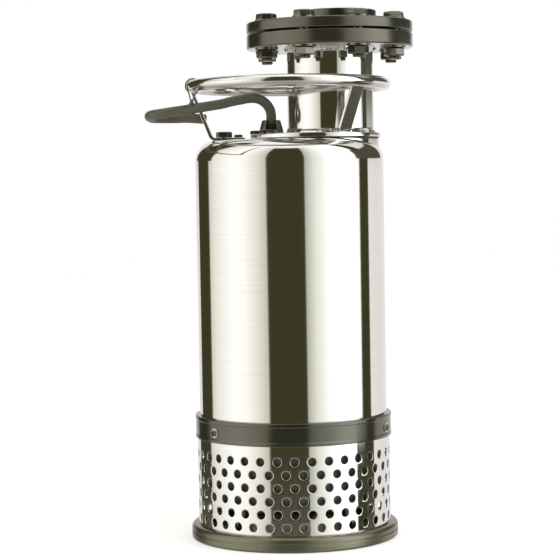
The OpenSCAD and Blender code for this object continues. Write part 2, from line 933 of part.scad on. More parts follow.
module upper_bracket() {
    color("#5b6670") difference() {
        union() {
            rod(housing_r, z_housing1, z_cap0);
            tube(housing_ri - film, housing_ri - hub_wall_t, z_housing1 - spigot_h, z_housing1 + eps);
            rod(up_bearing[1] + hub_wall_t, z_up0, z_housing1 + eps);
        }
        rod(up_bearing[1] + film, z_up0 - eps, z_up1);
        rod(ball_edge(up_bearing), z_up0, z_housing1);
        translate(wire_hole_at) rod(wire_hole_r, z_housing1 - eps, z_cap0 + eps);
        motor_screw_places() rod(m5_r + hole_fit, z_housing1 - eps, z_cap0 + eps);
    }
}

module motor_cap() {
    color("#5b6670") difference() {
        union() {
            rod(housing_r, z_cap0, z_cap1);
            translate([leg_bolt_x, 0, 0]) rod(boss_r, z_cap1 - eps, z_top - shell_t);
            translate([leg_screw_x, 0, 0]) rod(small_boss_r, z_cap1 - eps, z_top - shell_t);
        }
        rod(housing_r - cap_wall, z_cap0 - eps, z_cap1 - cap_t);
        translate(gland_at) rod(duct_r + film, z_cap1 - cap_t - eps, z_cap1 + eps);
        translate([leg_bolt_x, 0, 0]) rod(m12_r + thread_fit, z_top - shell_t - leg_thread_l - eps, z_top);
        translate([leg_screw_x, 0, 0]) rod(m6_r + thread_fit, z_top - shell_t - leg_thread_l - eps, z_top);
        motor_screw_places() rod(m5_r + hole_fit, z_cap0 - eps, z_cap1 + eps);
    }
}

module motor_screws() {
    z_head = z_hub + m5_head_h;
    color("gray") motor_screw_places() {
        rod(m5_head_r, z_cap1, z_cap1 + m5_head_h);
        rod(m5_r, z_housing1 - motor_screw_grip + eps, z_cap1 + eps);
        rod(m5_head_r, z_hub, z_head);
        rod(m5_r, z_head - eps, z_housing0 + motor_screw_grip - eps);
    }
}

module oil_chamber() {
    z_head = z_hub + m5_head_h;
    color("#3c4042") difference() {
        union() {
            rod(hub_ri - film, z_oil0, z_hub + eps);
            rod(housing_r, z_hub, z_bracket0);
        }
        rod(hub_ri - oil_wall, z_oil0 - eps, z_seat_up);
        rod(seat_r + film, z_seat_up - eps, z_seat_up + seat_h);
        rod(passage_r, z_seat_up, z_bracket0 + eps);
        motor_screw_places() {
            rod(m5_head_r + fit, z_hub - eps, z_head);
            rod(m5_r + hole_fit, z_hub, z_bracket0 + eps);
        }
        around(casing_screw_count, casing_screw_r) rod(m6_r + thread_fit, z_hub - eps, z_bracket0 - skin);
    }
}

module casing_screws() {
    color("gray") around(casing_screw_count, casing_screw_r) {
        rod(m6_head_r, z_plate0 - m6_head_h, z_plate0);
        rod(m6_r, z_plate0 - eps, z_bracket0 - eps);
    }
}

module seal_plate() {
    color("#3c4042") difference() {
        rod(hub_r, z_plate0, z_oil0);
        rod(seat_r + film, z_oil0 - seat_h, z_oil0 + eps);
        rod(passage_r, z_plate0 - eps, z_oil0);
        around(casing_screw_count, casing_screw_r) rod(m6_r + hole_fit, z_plate0 - eps, z_oil0 + eps);
    }
}

module seal_seats() {
    color("ivory") {
        tube(seat_r, seat_ri, z_oil0 - seat_h, z_oil0);
        tube(seat_r, seat_ri, z_seat_up, z_seat_up + seat_h);
    }
}

// Bearings

// Outer edge of the inner ring and inner edge of the outer ring
function ball_edge(b) = b[1] - ring_share * (b[1] - b[0]);
function inner_edge(b) = b[0] + ring_share * (b[1] - b[0]);

module bearing_ring(b, r0, r1, z0) {
    translate([0, 0, z0]) rotate_extrude() difference() {
        translate([r0, 0]) square([r1 - r0, b[2]]);
        translate([b[3], b[2] / 2]) circle(b[4] + film);
    }
}

// Balls between the two rings of a cage, which posts join
module ball_set(b, z0) {
    side = b[4] + run_gap;
    translate([0, 0, z0 + b[2] / 2]) {
        around(b[5], b[3]) sphere(b[4]);
        for (z = [-side - cage_t, side]) tube(b[3] + cage_t, b[3] - cage_t, z, z + cage_t);
        around(b[5], b[3], 180 / b[5]) rod(cage_post_r, -side - cage_t / 2, side + cage_t / 2);
    }
}

module lower_outer_ring() {
    color("lightgray") bearing_ring(low_bearing, ball_edge(low_bearing), low_bearing[1], z_low0);
}

module upper_outer_ring() {
    color("lightgray") bearing_ring(up_bearing, ball_edge(up_bearing), up_bearing[1], z_up0);
}

module lower_inner_ring() {
    color("lightgray")
        bearing_ring(low_bearing, low_bearing[0] + thread_fit, inner_edge(low_bearing), z_low0);
}

module upper_inner_ring() {
    color("lightgray")
        bearing_ring(up_bearing, up_bearing[0] + thread_fit, inner_edge(up_bearing), z_up0);
}

module lower_balls() {
    color("white") ball_set(low_bearing, z_low0);
}

module upper_balls() {
    color("white") ball_set(up_bearing, z_up0);
}

// Rotor

module key_slot() {
    translate([impeller_shaft_r - key_h / 2, -key_w / 2, z_imp_hub + key_step])
        cube([key_h, key_w, key_len]);
}

module shaft() {
    color("lightsteelblue") difference() {
        union() {
            rod(thread_r, z_imp_hub - nut_h - shaft_tail, z_imp_hub + eps);
            rod(impeller_shaft_r, z_imp_hub, z_plate0 + eps);
            rod(seal_shaft_r, z_plate0, z_bracket0 + eps);
            rod(low_bearing[0], z_bracket0, z_low1 + eps);
            rod(shaft_r, z_low1, z_stator1 + end_ring_h);
            rod(low_bearing[0], z_stator1, z_up0);
            rod(up_bearing[0], z_up0 - eps, z_up1 + shaft_end);
        }
        key_slot();
    }
}

module rotor_core() {
    color("slategray") union() {
        tube(rotor_r, shaft_r + thread_fit, z_stator0, z_stator1);
        for (z = [z_stator0 - end_ring_h, z_stator1 - eps])
            tube(rotor_r - end_ring_step, rotor_r - end_ring_in, z, z + end_ring_h + eps);
    }
}

module seal_faces() {
    color("#2d2f33") {
        tube(seal_face_r, seal_shaft_r + thread_fit, z_oil0 + film, z_oil0 + seal_face_h);
        tube(seal_face_r, seal_shaft_r + thread_fit, z_seat_up - seal_face_h, z_seat_up - film);
    }
}

module seal_spring() {
    z0 = z_oil0 + seal_face_h + spring_wire;
    z1 = z_seat_up - seal_face_h - spring_wire;
    steps = spring_steps * spring_turns;
    p = [
        for (i = [0 : steps]) let (a = 360 * spring_turns * i / steps)
            [spring_r * cos(a), spring_r * sin(a), z0 + (z1 - z0) * i / steps]
    ];
    out = [for (q = p) unit([q.x, q.y, 0])];
    color("silver") swept_tube(p, out, spring_wire, spring_sides);
}

// Backward-curved blade, as part of a thin ring
module blade() {
    intersection() {
        difference() {
            translate([impeller_r / 2, -blade_sag]) circle(blade_bend_r);
            translate([impeller_r / 2, -blade_sag]) circle(blade_bend_r - blade_t);
            translate([0, -2 * impeller_r]) square([2 * impeller_r, 2 * impeller_r - blade_root]);
        }
        difference() {
            circle(impeller_r - tip_gap);
            circle(impeller_hub_r + blade_t);
        }
        translate([0, -impeller_r]) square(2 * impeller_r);
    }
}

module impeller() {
    color("#6a5f4b") difference() {
        union() {
            rod(impeller_r, z_blade1, z_imp1);
            tube(impeller_r, eye_r, z_imp0, z_blade0);
            tube(eye_r + eye_wall, eye_r, z_imp0 - neck_len, z_imp0 + eps);
            rod(impeller_hub_r, z_imp_hub, z_plate0);
            translate([0, 0, z_blade0 - eps]) linear_extrude(vane_h + 2 * eps)
                for (i = [0 : blade_count - 1]) rotate(i * 360 / blade_count) blade();
        }
        rod(impeller_shaft_r + thread_fit, z_imp_hub - eps, z_plate0 + eps);
        key_slot();
    }
}

module impeller_key() {
    gap = [film, film, film];
    corner = [impeller_shaft_r - key_h / 2, -key_w / 2, z_imp_hub + key_step];
    color("gray") translate(corner + gap) cube([key_h, key_w, key_len] - 2 * gap);
}

module impeller_nut() {
    color("silver") difference() {
        translate([0, 0, z_imp_hub - nut_h]) hex(nut_flats, nut_h);
        rod(thread_r + thread_fit, z_imp_hub - nut_h - eps, z_imp_hub + eps);
    }
}

base_plate();
base_pillars();
base_screws();
strainer();
joint_band();
band_screws();
pump_casing();
suction_cover();
wear_ring();
suction_screws();
outer_shell();
shell_oring();
neck_ring();
cover_gasket();
discharge_cover();
cover_bolts();
discharge_pipe();
discharge_flange();
flange_gasket();
counter_flange();
flange_bolts();
flange_nuts();
lifting_ring();
left_leg();
front_leg();
rear_leg();
leg_bolts();
gland_body();
gland_seal();
gland_nut();
cable_core();
power_cable();
cable_tie();
cable_duct();
motor_housing();
stator_core();
end_windings();
lower_bracket();
upper_bracket();
bearing_retainer();
lower_outer_ring();
upper_outer_ring();
motor_cap();
motor_screws();
oil_chamber();
casing_screws();
seal_plate();
seal_seats();
shaft();
rotor_core();
lower_inner_ring();
upper_inner_ring();
seal_faces();
seal_spring();
impeller();
impeller_key();
impeller_nut();
lower_balls();
upper_balls();
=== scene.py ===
import json
import math

import bmesh
import bpy
from mathutils import Matrix, Vector


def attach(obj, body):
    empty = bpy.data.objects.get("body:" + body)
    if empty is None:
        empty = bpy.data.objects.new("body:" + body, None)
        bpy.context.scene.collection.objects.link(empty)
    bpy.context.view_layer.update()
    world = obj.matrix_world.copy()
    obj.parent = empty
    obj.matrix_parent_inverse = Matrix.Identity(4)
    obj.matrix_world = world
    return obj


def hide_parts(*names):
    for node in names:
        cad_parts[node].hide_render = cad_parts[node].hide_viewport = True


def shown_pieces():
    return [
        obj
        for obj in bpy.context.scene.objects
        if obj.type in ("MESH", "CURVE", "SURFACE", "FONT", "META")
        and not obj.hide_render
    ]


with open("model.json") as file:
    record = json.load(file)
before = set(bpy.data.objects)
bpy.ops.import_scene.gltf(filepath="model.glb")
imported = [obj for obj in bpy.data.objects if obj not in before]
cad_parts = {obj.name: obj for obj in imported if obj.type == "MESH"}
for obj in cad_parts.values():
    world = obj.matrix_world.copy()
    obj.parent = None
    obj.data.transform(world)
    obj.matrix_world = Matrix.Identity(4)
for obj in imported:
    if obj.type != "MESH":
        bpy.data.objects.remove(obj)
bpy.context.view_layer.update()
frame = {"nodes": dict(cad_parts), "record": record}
nodes = frame["nodes"]
mm = 0.001  # sizes below are in millimetres
fullTurn = 2 * math.pi
print("frame loaded:", len(nodes), "nodes")

scene = bpy.context.scene
scene.view_settings.view_transform = "Standard"


# small helpers for shader trees

def addNode(tree, kind, settings=None, values=None):
    node = tree.nodes.new(kind)
    for key, value in (settings or {}).items():
        setattr(node, key, value)
    for key, value in (values or {}).items():
        node.inputs[key].default_value = value
    return node


def addMath(tree, operation, *terms, clamp=False):
    node = addNode(tree, "ShaderNodeMath", {"operation": operation, "use_clamp": clamp})
    for socket, term in zip(node.inputs, terms):
        if isinstance(term, (int, float)):
            socket.default_value = term
        else:
            tree.links.new(term, socket)
    return node.outputs[0]


def mapRange(tree, value, fromLimits, toLimits, curve="LINEAR"):
    labels = ("From Min", "From Max", "To Min", "To Max")
    limits = dict(zip(labels, (*fromLimits, *toLimits)))
    spread = addNode(tree, "ShaderNodeMapRange", {"interpolation_type": curve}, limits)
    tree.links.new(value, spread.inputs["Value"])
    return spread.outputs[0]


def mixColours(tree, factor, first, second):
    mix = addNode(tree, "ShaderNodeMix", {"data_type": "RGBA"})
    tree.links.new(factor, mix.inputs["Factor"])
    for label, colour in (("A", first), ("B", second)):
        if isinstance(colour, tuple):
            mix.inputs[label].default_value = (*colour, 1.0)
        else:
            tree.links.new(colour, mix.inputs[label])
    return mix.outputs["Result"]


def newGroup(name, inputs, outputs):
    group = bpy.data.node_groups.new(name, "ShaderNodeTree")
    for label, value in inputs.items():
        socket = group.interface.new_socket(name=label, in_out="INPUT", socket_type="NodeSocketFloat")
        socket.default_value = value
    for label in outputs:
        group.interface.new_socket(name=label, in_out="OUTPUT", socket_type="NodeSocketFloat")
    return group, group.nodes.new("NodeGroupInput"), group.nodes.new("NodeGroupOutput")


def placeGroup(tree, group, values):
    node = tree.nodes.new("ShaderNodeGroup")
    node.node_tree = group
    for key, value in values.items():
        node.inputs[key].default_value = value
    return node


# fine lines that run round the vertical axis, from a polishing belt

def makeBrushLines():
    scales = {"Fine": 1300.0, "Broad": 240.0, "Around": 9.0}
    fineShare, broadShare = 0.55, 0.45
    group, given, out = newGroup("brushLines", scales, ["Mask", "Height"])
    coords = addNode(group, "ShaderNodeTexCoord")
    parts = addNode(group, "ShaderNodeSeparateXYZ")
    group.links.new(coords.outputs["Object"], parts.inputs[0])
    noises = {}
    for label, detail in (("Fine", 2.0), ("Broad", 3.0)):
        stretched = addNode(group, "ShaderNodeCombineXYZ")
        for axis, scaleName in (("X", "Around"), ("Y", "Around"), ("Z", label)):
            scaled = addMath(group, "MULTIPLY", parts.outputs[axis], given.outputs[scaleName])
            group.links.new(scaled, stretched.inputs[axis])
        values = {"Scale": 1.0, "Detail": detail, "Roughness": 0.55}
        noise = addNode(group, "ShaderNodeTexNoise", values=values)
        group.links.new(stretched.outputs[0], noise.inputs["Vector"])
        noises[label] = noise.outputs["Fac"]
    broad = addMath(group, "MULTIPLY", noises["Broad"], broadShare)
    mask = addMath(group, "MULTIPLY_ADD", noises["Fine"], fineShare, broad)
    group.links.new(mask, out.inputs["Mask"])
    group.links.new(noises["Fine"], out.inputs["Height"])
    return group


# grainy skin of a painted or bare casting

def makeCastGrain():
    fineShare, blotchShare, pitDepth = 0.4, 0.6, 0.5
    group, given, out = newGroup("castGrain", {"Size": 600.0, "Blotch": 28.0}, ["Mask", "Height"])
    coords = addNode(group, "ShaderNodeTexCoord")
    fine = addNode(group, "ShaderNodeTexNoise", values={"Detail": 4.0, "Roughness": 0.6})
    pits = addNode(group, "ShaderNodeTexVoronoi", {"feature": "SMOOTH_F1"}, {"Smoothness": 0.6})
    blotch = addNode(group, "ShaderNodeTexNoise", values={"Detail": 5.0, "Roughness": 0.65})
    for node, scaleName in ((fine, "Size"), (pits, "Size"), (blotch, "Blotch")):
        group.links.new(coords.outputs["Object"], node.inputs["Vector"])
        group.links.new(given.outputs[scaleName], node.inputs["Scale"])
    height = addMath(group, "MULTIPLY_ADD", pits.outputs["Distance"], pitDepth, fine.outputs["Fac"])
    broad = addMath(group, "MULTIPLY", blotch.outputs["Fac"], blotchShare)
    mask = addMath(group, "MULTIPLY_ADD", fine.outputs["Fac"], fineShare, broad)
    group.links.new(mask, out.inputs["Mask"])
    group.links.new(height, out.inputs["Height"])
    return group


# rubbed edges: where a rounded normal leaves the true one

def makeEdgeRub():
    inputs = {"Radius": 1.5 * mm, "Breakup": 160.0, "Reach": 9.0}
    group, given, out = newGroup("edgeRub", inputs, ["Mask"])
    rounded = addNode(group, "ShaderNodeBevel", {"samples": 4})
    surface = addNode(group, "ShaderNodeNewGeometry")
    group.links.new(given.outputs["Radius"], rounded.inputs["Radius"])
    same = addNode(group, "ShaderNodeVectorMath", {"operation": "DOT_PRODUCT"})
    group.links.new(rounded.outputs["Normal"], same.inputs[0])
    group.links.new(surface.outputs["Normal"], same.inputs[1])
    away = addMath(group, "SUBTRACT", 1.0, same.outputs["Value"])
    coords = addNode(group, "ShaderNodeTexCoord")
    noise = addNode(group, "ShaderNodeTexNoise", values={"Detail": 3.0})
    group.links.new(coords.outputs["Object"], noise.inputs["Vector"])
    group.links.new(given.outputs["Breakup"], noise.inputs["Scale"])
    strong = addMath(group, "MULTIPLY", away, given.outputs["Reach"])
    broken = addMath(group, "MULTIPLY", strong, noise.outputs["Fac"], clamp=True)
    group.links.new(broken, out.inputs["Mask"])
    return group


brushLines = makeBrushLines()
castGrain = makeCastGrain()
edgeRub = makeEdgeRub()

maskLimits = (0.25, 0.75)  # the part of a noise mask that most of the surface has
# light colour of bare machined metal, made light enough to be a painted highlight on the flange underside, as
# if lit from below
machinedHighlightColour = (0.62, 0.61, 0.58)


def newMaterial(name, metallic):
    material = bpy.data.materials.new(name)
    material.use_nodes = True
    shader = material.node_tree.nodes["Principled BSDF"]
    shader.inputs["Metallic"].default_value = metallic
    return material, material.node_tree, shader


def bumpTo(tree, height, shader, strength, distance):
    bump = addNode(tree, "ShaderNodeBump", values={"Strength": strength, "Distance": distance * mm})
    tree.links.new(height, bump.inputs["Height"])
    tree.links.new(bump.outputs[0], shader.inputs["Normal"])


def brushedMetal(name, dark, light, roughness, bump, fine=1300.0, broad=240.0):
    material, tree, shader = newMaterial(name, 1.0)
    lines = placeGroup(tree, brushLines, {"Fine": fine, "Broad": broad, "Around": 9.0})
    mask = lines.outputs["Mask"]
    tree.links.new(mixColours(tree, mask, dark, light), shader.inputs["Base Color"])
    satin = addNode(tree, "ShaderNodeAttribute", {"attribute_name": "satin"})
    spread = mapRange(tree, mask, maskLimits, roughness)
    rougher = addMath(tree, "ADD", spread, satin.outputs["Fac"])
    tree.links.new(rougher, shader.inputs["Roughness"])
    bumpTo(tree, lines.outputs["Height"], shader, bump, 0.4)
    return material


def grainyPaint(name, dark, light, bare, roughness, bump, size=600.0, rub=9.0, metallic=0.0):
    material, tree, shader = newMaterial(name, metallic)
    grain = placeGroup(tree, castGrain, {"Size": size, "Blotch": 28.0})
    mask = grain.outputs["Mask"]
    worn = placeGroup(tree, edgeRub, {"Radius": 1.6 * mm, "Breakup": 170.0, "Reach": rub})
    # the machinedHighlight attribute puts that light machined colour on the flange underside: partly bare
    # metal, partly a painted highlight
    machinedHighlight = addNode(tree, "ShaderNodeAttribute", {"attribute_name": "machinedHighlight"})
    tint = mixColours(tree, mask, dark, light)
    rubbed = mixColours(tree, worn.outputs["Mask"], tint, bare)
    cut = mixColours(tree, machinedHighlight.outputs["Fac"], rubbed, machinedHighlightColour)
    tree.links.new(cut, shader.inputs["Base Color"])
    tree.links.new(mapRange(tree, mask, maskLimits, roughness), shader.inputs["Roughness"])
    bumpTo(tree, grain.outputs["Height"], shader, bump, 0.6)
    return material


finishes = {
    "polished_steel": brushedMetal(
        "polishedSteel", dark=(0.71, 0.70, 0.67), light=(0.88, 0.87, 0.84), roughness=(0.045, 0.085),
        bump=0.008,
    ),
    "flange_paint": grainyPaint(
        "flangePaint", dark=(0.10, 0.096, 0.070), light=(0.17, 0.165, 0.132), bare=(0.34, 0.33, 0.28),
        roughness=(0.14, 0.25), bump=0.12, metallic=0.85,
    ),
    "band_paint": grainyPaint(
        "bandPaint", dark=(0.105, 0.101, 0.074), light=(0.165, 0.162, 0.138), bare=(0.36, 0.35, 0.32),
        roughness=(0.13, 0.21), bump=0.04, size=800.0, metallic=0.88,
    ),
    "base_paint": grainyPaint(
        "basePaint", dark=(0.16, 0.154, 0.100), light=(0.26, 0.25, 0.185), bare=(0.46, 0.44, 0.35),
        roughness=(0.24, 0.36), bump=0.16, size=500.0, metallic=0.85,
    ),
    "fastener_steel": brushedMetal(
        "fastenerSteel", dark=(0.15, 0.146, 0.116), light=(0.27, 0.262, 0.222), roughness=(0.16, 0.30),
        bump=0.10, fine=900.0,
    ),
    "grey_iron": grainyPaint(
        "greyIron", dark=(0.105, 0.10, 0.080), light=(0.18, 0.174, 0.145), bare=(0.42, 0.41, 0.38),
        roughness=(0.48, 0.66), bump=0.45, size=450.0,
    ),
    "bronze": brushedMetal(
        "turnedBronze", dark=(0.52, 0.33, 0.14), light=(0.66, 0.45, 0.22), roughness=(0.22, 0.36), bump=0.10,
    ),
    "black_rubber": grainyPaint(
        "blackRubber", dark=(0.012, 0.012, 0.012), light=(0.026, 0.026, 0.025), bare=(0.05, 0.05, 0.05),
        roughness=(0.60, 0.78), bump=0.15, size=1200.0, rub=3.0,
    ),
    "cable_rubber": grainyPaint(
        "cableSheath", dark=(0.074, 0.070, 0.043), light=(0.134, 0.127, 0.090), bare=(0.17, 0.16, 0.12),
        roughness=(0.36, 0.50), bump=0.18, size=900.0, rub=2.0,
    ),
    "tie_cord": grainyPaint(
        "tieCord", dark=(0.10, 0.09, 0.07), light=(0.22, 0.20, 0.16), bare=(0.26, 0.24, 0.2),
        roughness=(0.70, 0.85), bump=0.5, size=1500.0, rub=2.0,
    ),
    "gland_metal": grainyPaint(
        "glandMetal", dark=(0.10, 0.098, 0.085), light=(0.18, 0.176, 0.155), bare=(0.40, 0.39, 0.35),
        roughness=(0.26, 0.38), bump=0.15, size=700.0, metallic=0.8,
    ),
    "laminations": brushedMetal(
        "laminatedSheet", dark=(0.20, 0.205, 0.21), light=(0.38, 0.385, 0.39), roughness=(0.35, 0.50),
        bump=0.35, fine=2000.0, broad=1200.0,
    ),
    "copper": brushedMetal(
        "varnishedCopper", dark=(0.42, 0.17, 0.07), light=(0.62, 0.29, 0.13), roughness=(0.25, 0.40),
        bump=0.5, fine=700.0, broad=350.0,
    ),
    "bearing_steel": brushedMetal(
        "groundSteel", dark=(0.66, 0.66, 0.66), light=(0.80, 0.80, 0.80), roughness=(0.08, 0.18), bump=0.04,
    ),
    "seal_ceramic": grainyPaint(
        "lappedCeramic", dark=(0.50, 0.48, 0.42), light=(0.68, 0.66, 0.60), bare=(0.75, 0.73, 0.68),
        roughness=(0.22, 0.32), bump=0.04, size=900.0, rub=1.0,
    ),
}
print("materials made:", len(finishes))

slotOf = {row["node"]: row["material_slot"] for row in frame["record"]["subparts"]}
for name, node in nodes.items():
    node.data.materials.clear()
    node.data.materials.append(finishes[slotOf[name]])


# camera: long lens, a little above the middle, with the small tilt that the picture has

cameraSetup = {
    "place": (-0.0128, -2.469, 0.465), "lens": 119.06, "sensor": 36.0, "pitch": -2.862, "roll": 0.95,
}
lens = bpy.data.cameras.new("camera")
lens.lens = cameraSetup["lens"]
lens.sensor_width = cameraSetup["sensor"]
camera = bpy.data.objects.new("camera", lens)
camera.location = cameraSetup["place"]
camera.rotation_euler = (math.radians(90 + cameraSetup["pitch"]), math.radians(cameraSetup["roll"]), 0)
scene.collection.objects.link(camera)
scene.camera = camera


# power cable: out of the gland, over the ring, a loop at the left and back to the middle

cableSetup = {
    "diameter": 13.0,
    "route": [
        (-23, -12, 554), (-23, -12, 561), (-25, -13, 569), (-31, -16, 577), (-40, -19, 582),
        (-51, -21, 583), (-63, -22, 581), (-75, -21, 579), (-88, -20, 576), (-101, -20, 574),
        (-114, -21, 572), (-127, -26, 570), (-139, -33, 568), (-152, -39, 566), (-166, -38, 564),
        (-177, -30, 563), (-183, -17, 562), (-184, -3, 561), (-181, 11, 560), (-173, 22, 560),
        (-162, 29, 560), (-149, 30, 560), (-136, 27, 560), (-123, 23, 559), (-111, 21, 558),
    ],
}


def roundLine(name, routes, radius, sideSteps, lengthSteps, closed):
    line = bpy.data.curves.new(name, "CURVE")
    line.dimensions = "3D"
    line.bevel_depth = radius * mm
    line.bevel_resolution = sideSteps
    line.resolution_u = lengthSteps
    line.use_fill_caps = not closed
    for route in routes:
        spline = line.splines.new("BEZIER")
        spline.bezier_points.add(len(route) - 1)
        spline.use_cyclic_u = closed
        for point, place in zip(spline.bezier_points, route):
            point.co = Vector(place) * mm
            point.handle_left_type = point.handle_right_type = "AUTO"
    holder = bpy.data.objects.new(name, line)
    scene.collection.objects.link(holder)
    return holder


def makeCable(setup):
    cable = roundLine("powerCable", [setup["route"]], setup["diameter"] / 2, 6, 8, False)
    cable.data.materials.append(finishes["cable_rubber"])
    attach(cable, "pump_body")
    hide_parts("power_cable")
    return cable


powerCable = makeCable(cableSetup)
print("camera and cable placed")


# modelling helpers

smoothLimit = 34.0  # degrees between faces that still shade as one
mergeGap = 1e-6  # metres
past = 5.0  # how far a cutter runs past a face


def markPoints(mesh, label, rule):
    values = [rule(vert.co) for vert in mesh.vertices]
    mesh.attributes.new(label, "FLOAT", "POINT").data.foreach_set("value", values)


def shadeMesh(mesh, sharpAngle=smoothLimit):
    mesh.shade_smooth()
    mesh.set_sharp_from_angle(angle=math.radians(sharpAngle))


def keepPiece(name, bm, slotName, node=None, sharpAngle=smoothLimit, satin=0.0):
    mesh = bpy.data.meshes.new(name)
    bm.to_mesh(mesh)
    bm.free()
    if satin:
        markPoints(mesh, "satin", lambda place: satin)
    shadeMesh(mesh, sharpAngle)
    mesh.materials.append(finishes[slotName])
    piece = bpy.data.objects.new(name, mesh)
    scene.collection.objects.link(piece)
    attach(piece, "pump_body")
    if node:
        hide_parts(node)
    return piece


def evaluatedMesh(holder):
    bpy.context.view_layer.update()
    return bpy.data.meshes.new_from_object(holder.evaluated_get(bpy.context.evaluated_depsgraph_get()))


def joinInto(bm, extra):
    mesh = bpy.data.meshes.new("joined")
    extra.to_mesh(mesh)
    extra.free()
    bm.from_mesh(mesh)
    bpy.data.meshes.remove(mesh)
    return bm


def moveBy(bm, verts, x=0.0, y=0.0, z=0.0):
    bmesh.ops.translate(bm, verts=verts, vec=(x * mm, y * mm, z * mm))


def turnBy(bm, verts, angle):
    bmesh.ops.rotate(bm, verts=verts, cent=(0, 0, 0), matrix=Matrix.Rotation(angle, 3, "Z"))


def placeAt(x, y, z=0.0, turn=0.0):
    return Matrix.Translation((x * mm, y * mm, z * mm)) @ Matrix.Rotation(turn, 4, "Z")


def onlyVerts(geom):
    return [item for item in geom if isinstance(item, bmesh.types.BMVert)]


def levelEdges(bm, level=None):
    flat = [e for e in bm.edges if abs(e.verts[0].co.z - e.verts[1].co.z) < 10 * mergeGap]
    return [e for e in flat if level is None or abs(e.verts[0].co.z - level * mm) < 10 * mergeGap]


def blockSection(inner, outer, low, high):
    return [(inner, low), (outer, low), (outer, high), (inner, high)]


def ridgeSection(count, even, odd, start, step):
    return [(odd if index % 2 else even, start + index * step) for index in range(count)]


def wireLoop(bm, points):
    verts = [bm.verts.new((r * mm, 0, z * mm)) for r, z in points]
    for start, end in zip(verts, verts[1:] + verts[:1]):
        bm.edges.new((start, end))
    return verts


# rounds give a radius to corners by their number in the section
def roundCorners(bm, verts, rounds, segments):
    for index, radius in rounds.items():
        bmesh.ops.bevel(
            bm, geom=[verts[index]], offset=radius * mm, offset_type="OFFSET", affect="VERTICES",
            segments=segments, profile=0.5, material=-1, clamp_overlap=True,
        )


def spinRound(bm, steps):
    bmesh.ops.spin(
        bm, geom=bm.verts[:] + bm.edges[:], cent=(0, 0, 0), axis=(0, 0, 1), dvec=(0, 0, 0),
        angle=fullTurn, steps=steps, use_merge=True, use_duplicate=False,
    )
    bmesh.ops.remove_doubles(bm, verts=bm.verts[:], dist=mergeGap)
    bmesh.ops.dissolve_degenerate(bm, edges=bm.edges[:], dist=mergeGap / 10)
    bmesh.ops.recalc_face_normals(bm, faces=bm.faces[:])


def spunSection(points, rounds=None, segments=5, steps=128, centre=(0, 0), bm=None):
    section = bmesh.new()
    verts = wireLoop(section, points)
    roundCorners(section, verts, rounds or {}, segments)
    spinRound(section, steps)
    moveBy(section, section.verts[:], *centre)
    return section if bm is None else joinInto(bm, section)


def addRod(bm, radius, low, high, centre=(0, 0), sides=24):
    bmesh.ops.create_cone(
        bm, cap_ends=True, segments=sides, radius1=radius * mm, radius2=radius * mm, depth=(high - low) * mm,
        matrix=placeAt(*centre, (low + high) / 2),
    )


def addHexRod(bm, flats, low, high):
    addRod(bm, flats / 2 / math.cos(math.pi / 6), low, high, sides=6)


def bevelSharp(bm, width, segments=2, angle=40.0, edges=None):
    sharp = [
        edge for edge in (edges or bm.edges[:])
        if len(edge.link_faces) == 2 and edge.calc_face_angle() > math.radians(angle)
    ]
    bmesh.ops.bevel(
        bm, geom=sharp, offset=width * mm, offset_type="OFFSET", affect="EDGES", segments=segments,
        profile=0.5, material=-1, clamp_overlap=True,
    )


def cutOut(piece, cutter):
    mesh = bpy.data.meshes.new("cutter")
    cutter.to_mesh(mesh)
    cutter.free()
    tool = bpy.data.objects.new("cutter", mesh)
    scene.collection.objects.link(tool)
    cut = piece.modifiers.new("cut", "BOOLEAN")
    cut.object = tool
    cut.operation = "DIFFERENCE"
    cut.solver = "EXACT"
    done = evaluatedMesh(piece)
    piece.modifiers.remove(cut)
    old = piece.data
    piece.data = done
    bpy.data.meshes.remove(old)
    done.name = piece.name
    shadeMesh(done)
    bpy.data.objects.remove(tool)
    bpy.data.meshes.remove(mesh)


def onCircle(count, radius, first, centre=(0, 0), step=None):
    step = 360 / count if step is None else step
    turns = [math.radians(first + i * step) for i in range(count)]
    return [(centre[0] + radius * math.cos(t), centre[1] + radius * math.sin(t), t) for t in turns]


def boltPlaces(setup, centre):
    return onCircle(setup["bolts"], setup["boltCircle"], setup["firstBolt"], centre, setup.get("boltStep"))


# places and levels that several pieces share

layout = {
    "cover": (35, 0), "pipe": (56, 0), "gland": (-23, -12), "pipeBore": 53.55,
    "shellTop": 528.0, "coverLow": 529.5, "coverTop": 535.5, "flangeLow": 647.0,
    "legThick": 4.0, "legBolts": (-86, -67), "legTurns": (180, -46, 46),
}


# base with a rolled lip and one turned line

baseSetup = {
    "radius": 138, "height": 20, "floor": 8, "rim": 116.5, "groove": (126.4, 128.6, 12),
    "line": (9.0, 10.6, 136.6), "screws": 4, "screwCircle": 100.5, "firstScrew": 45,
    "screwHole": 4.05, "sink": 8.0,
}


def makeBase(setup):
    radius, height, floor, rim = setup["radius"], setup["height"], setup["floor"], setup["rim"]
    inner, outer, bottom = setup["groove"]
    low, high, depth = setup["line"]
    points = [
        (0, 0), (radius, 0), (radius, low), (depth, low), (depth, high), (radius, high), (radius, height),
        (outer, height), (outer, bottom), (inner, bottom), (inner, height), (rim, height), (rim, floor),
        (0, floor),
    ]
    rounds = {1: 3.0, 2: 0.5, 5: 0.8, 6: 6.5, 10: 1.5, 11: 1.5, 12: 2.0}
    base = keepPiece("basePlate", spunSection(points, rounds, 6, 160), "base_paint", "base_plate")
    hole, sink, top = setup["screwHole"], setup["sink"], floor + past
    countersink = [(0, -past), (sink + past, -past), (hole, sink - hole), (hole, top), (0, top)]
    holes = bmesh.new()
    for x, y, turn in onCircle(setup["screws"], setup["screwCircle"], setup["firstScrew"]):
        spunSection(countersink, steps=32, centre=(x, y), bm=holes)
    cutOut(base, holes)


makeBase(baseSetup)


# strainer: one punched cell, copied round the axis and up the rows

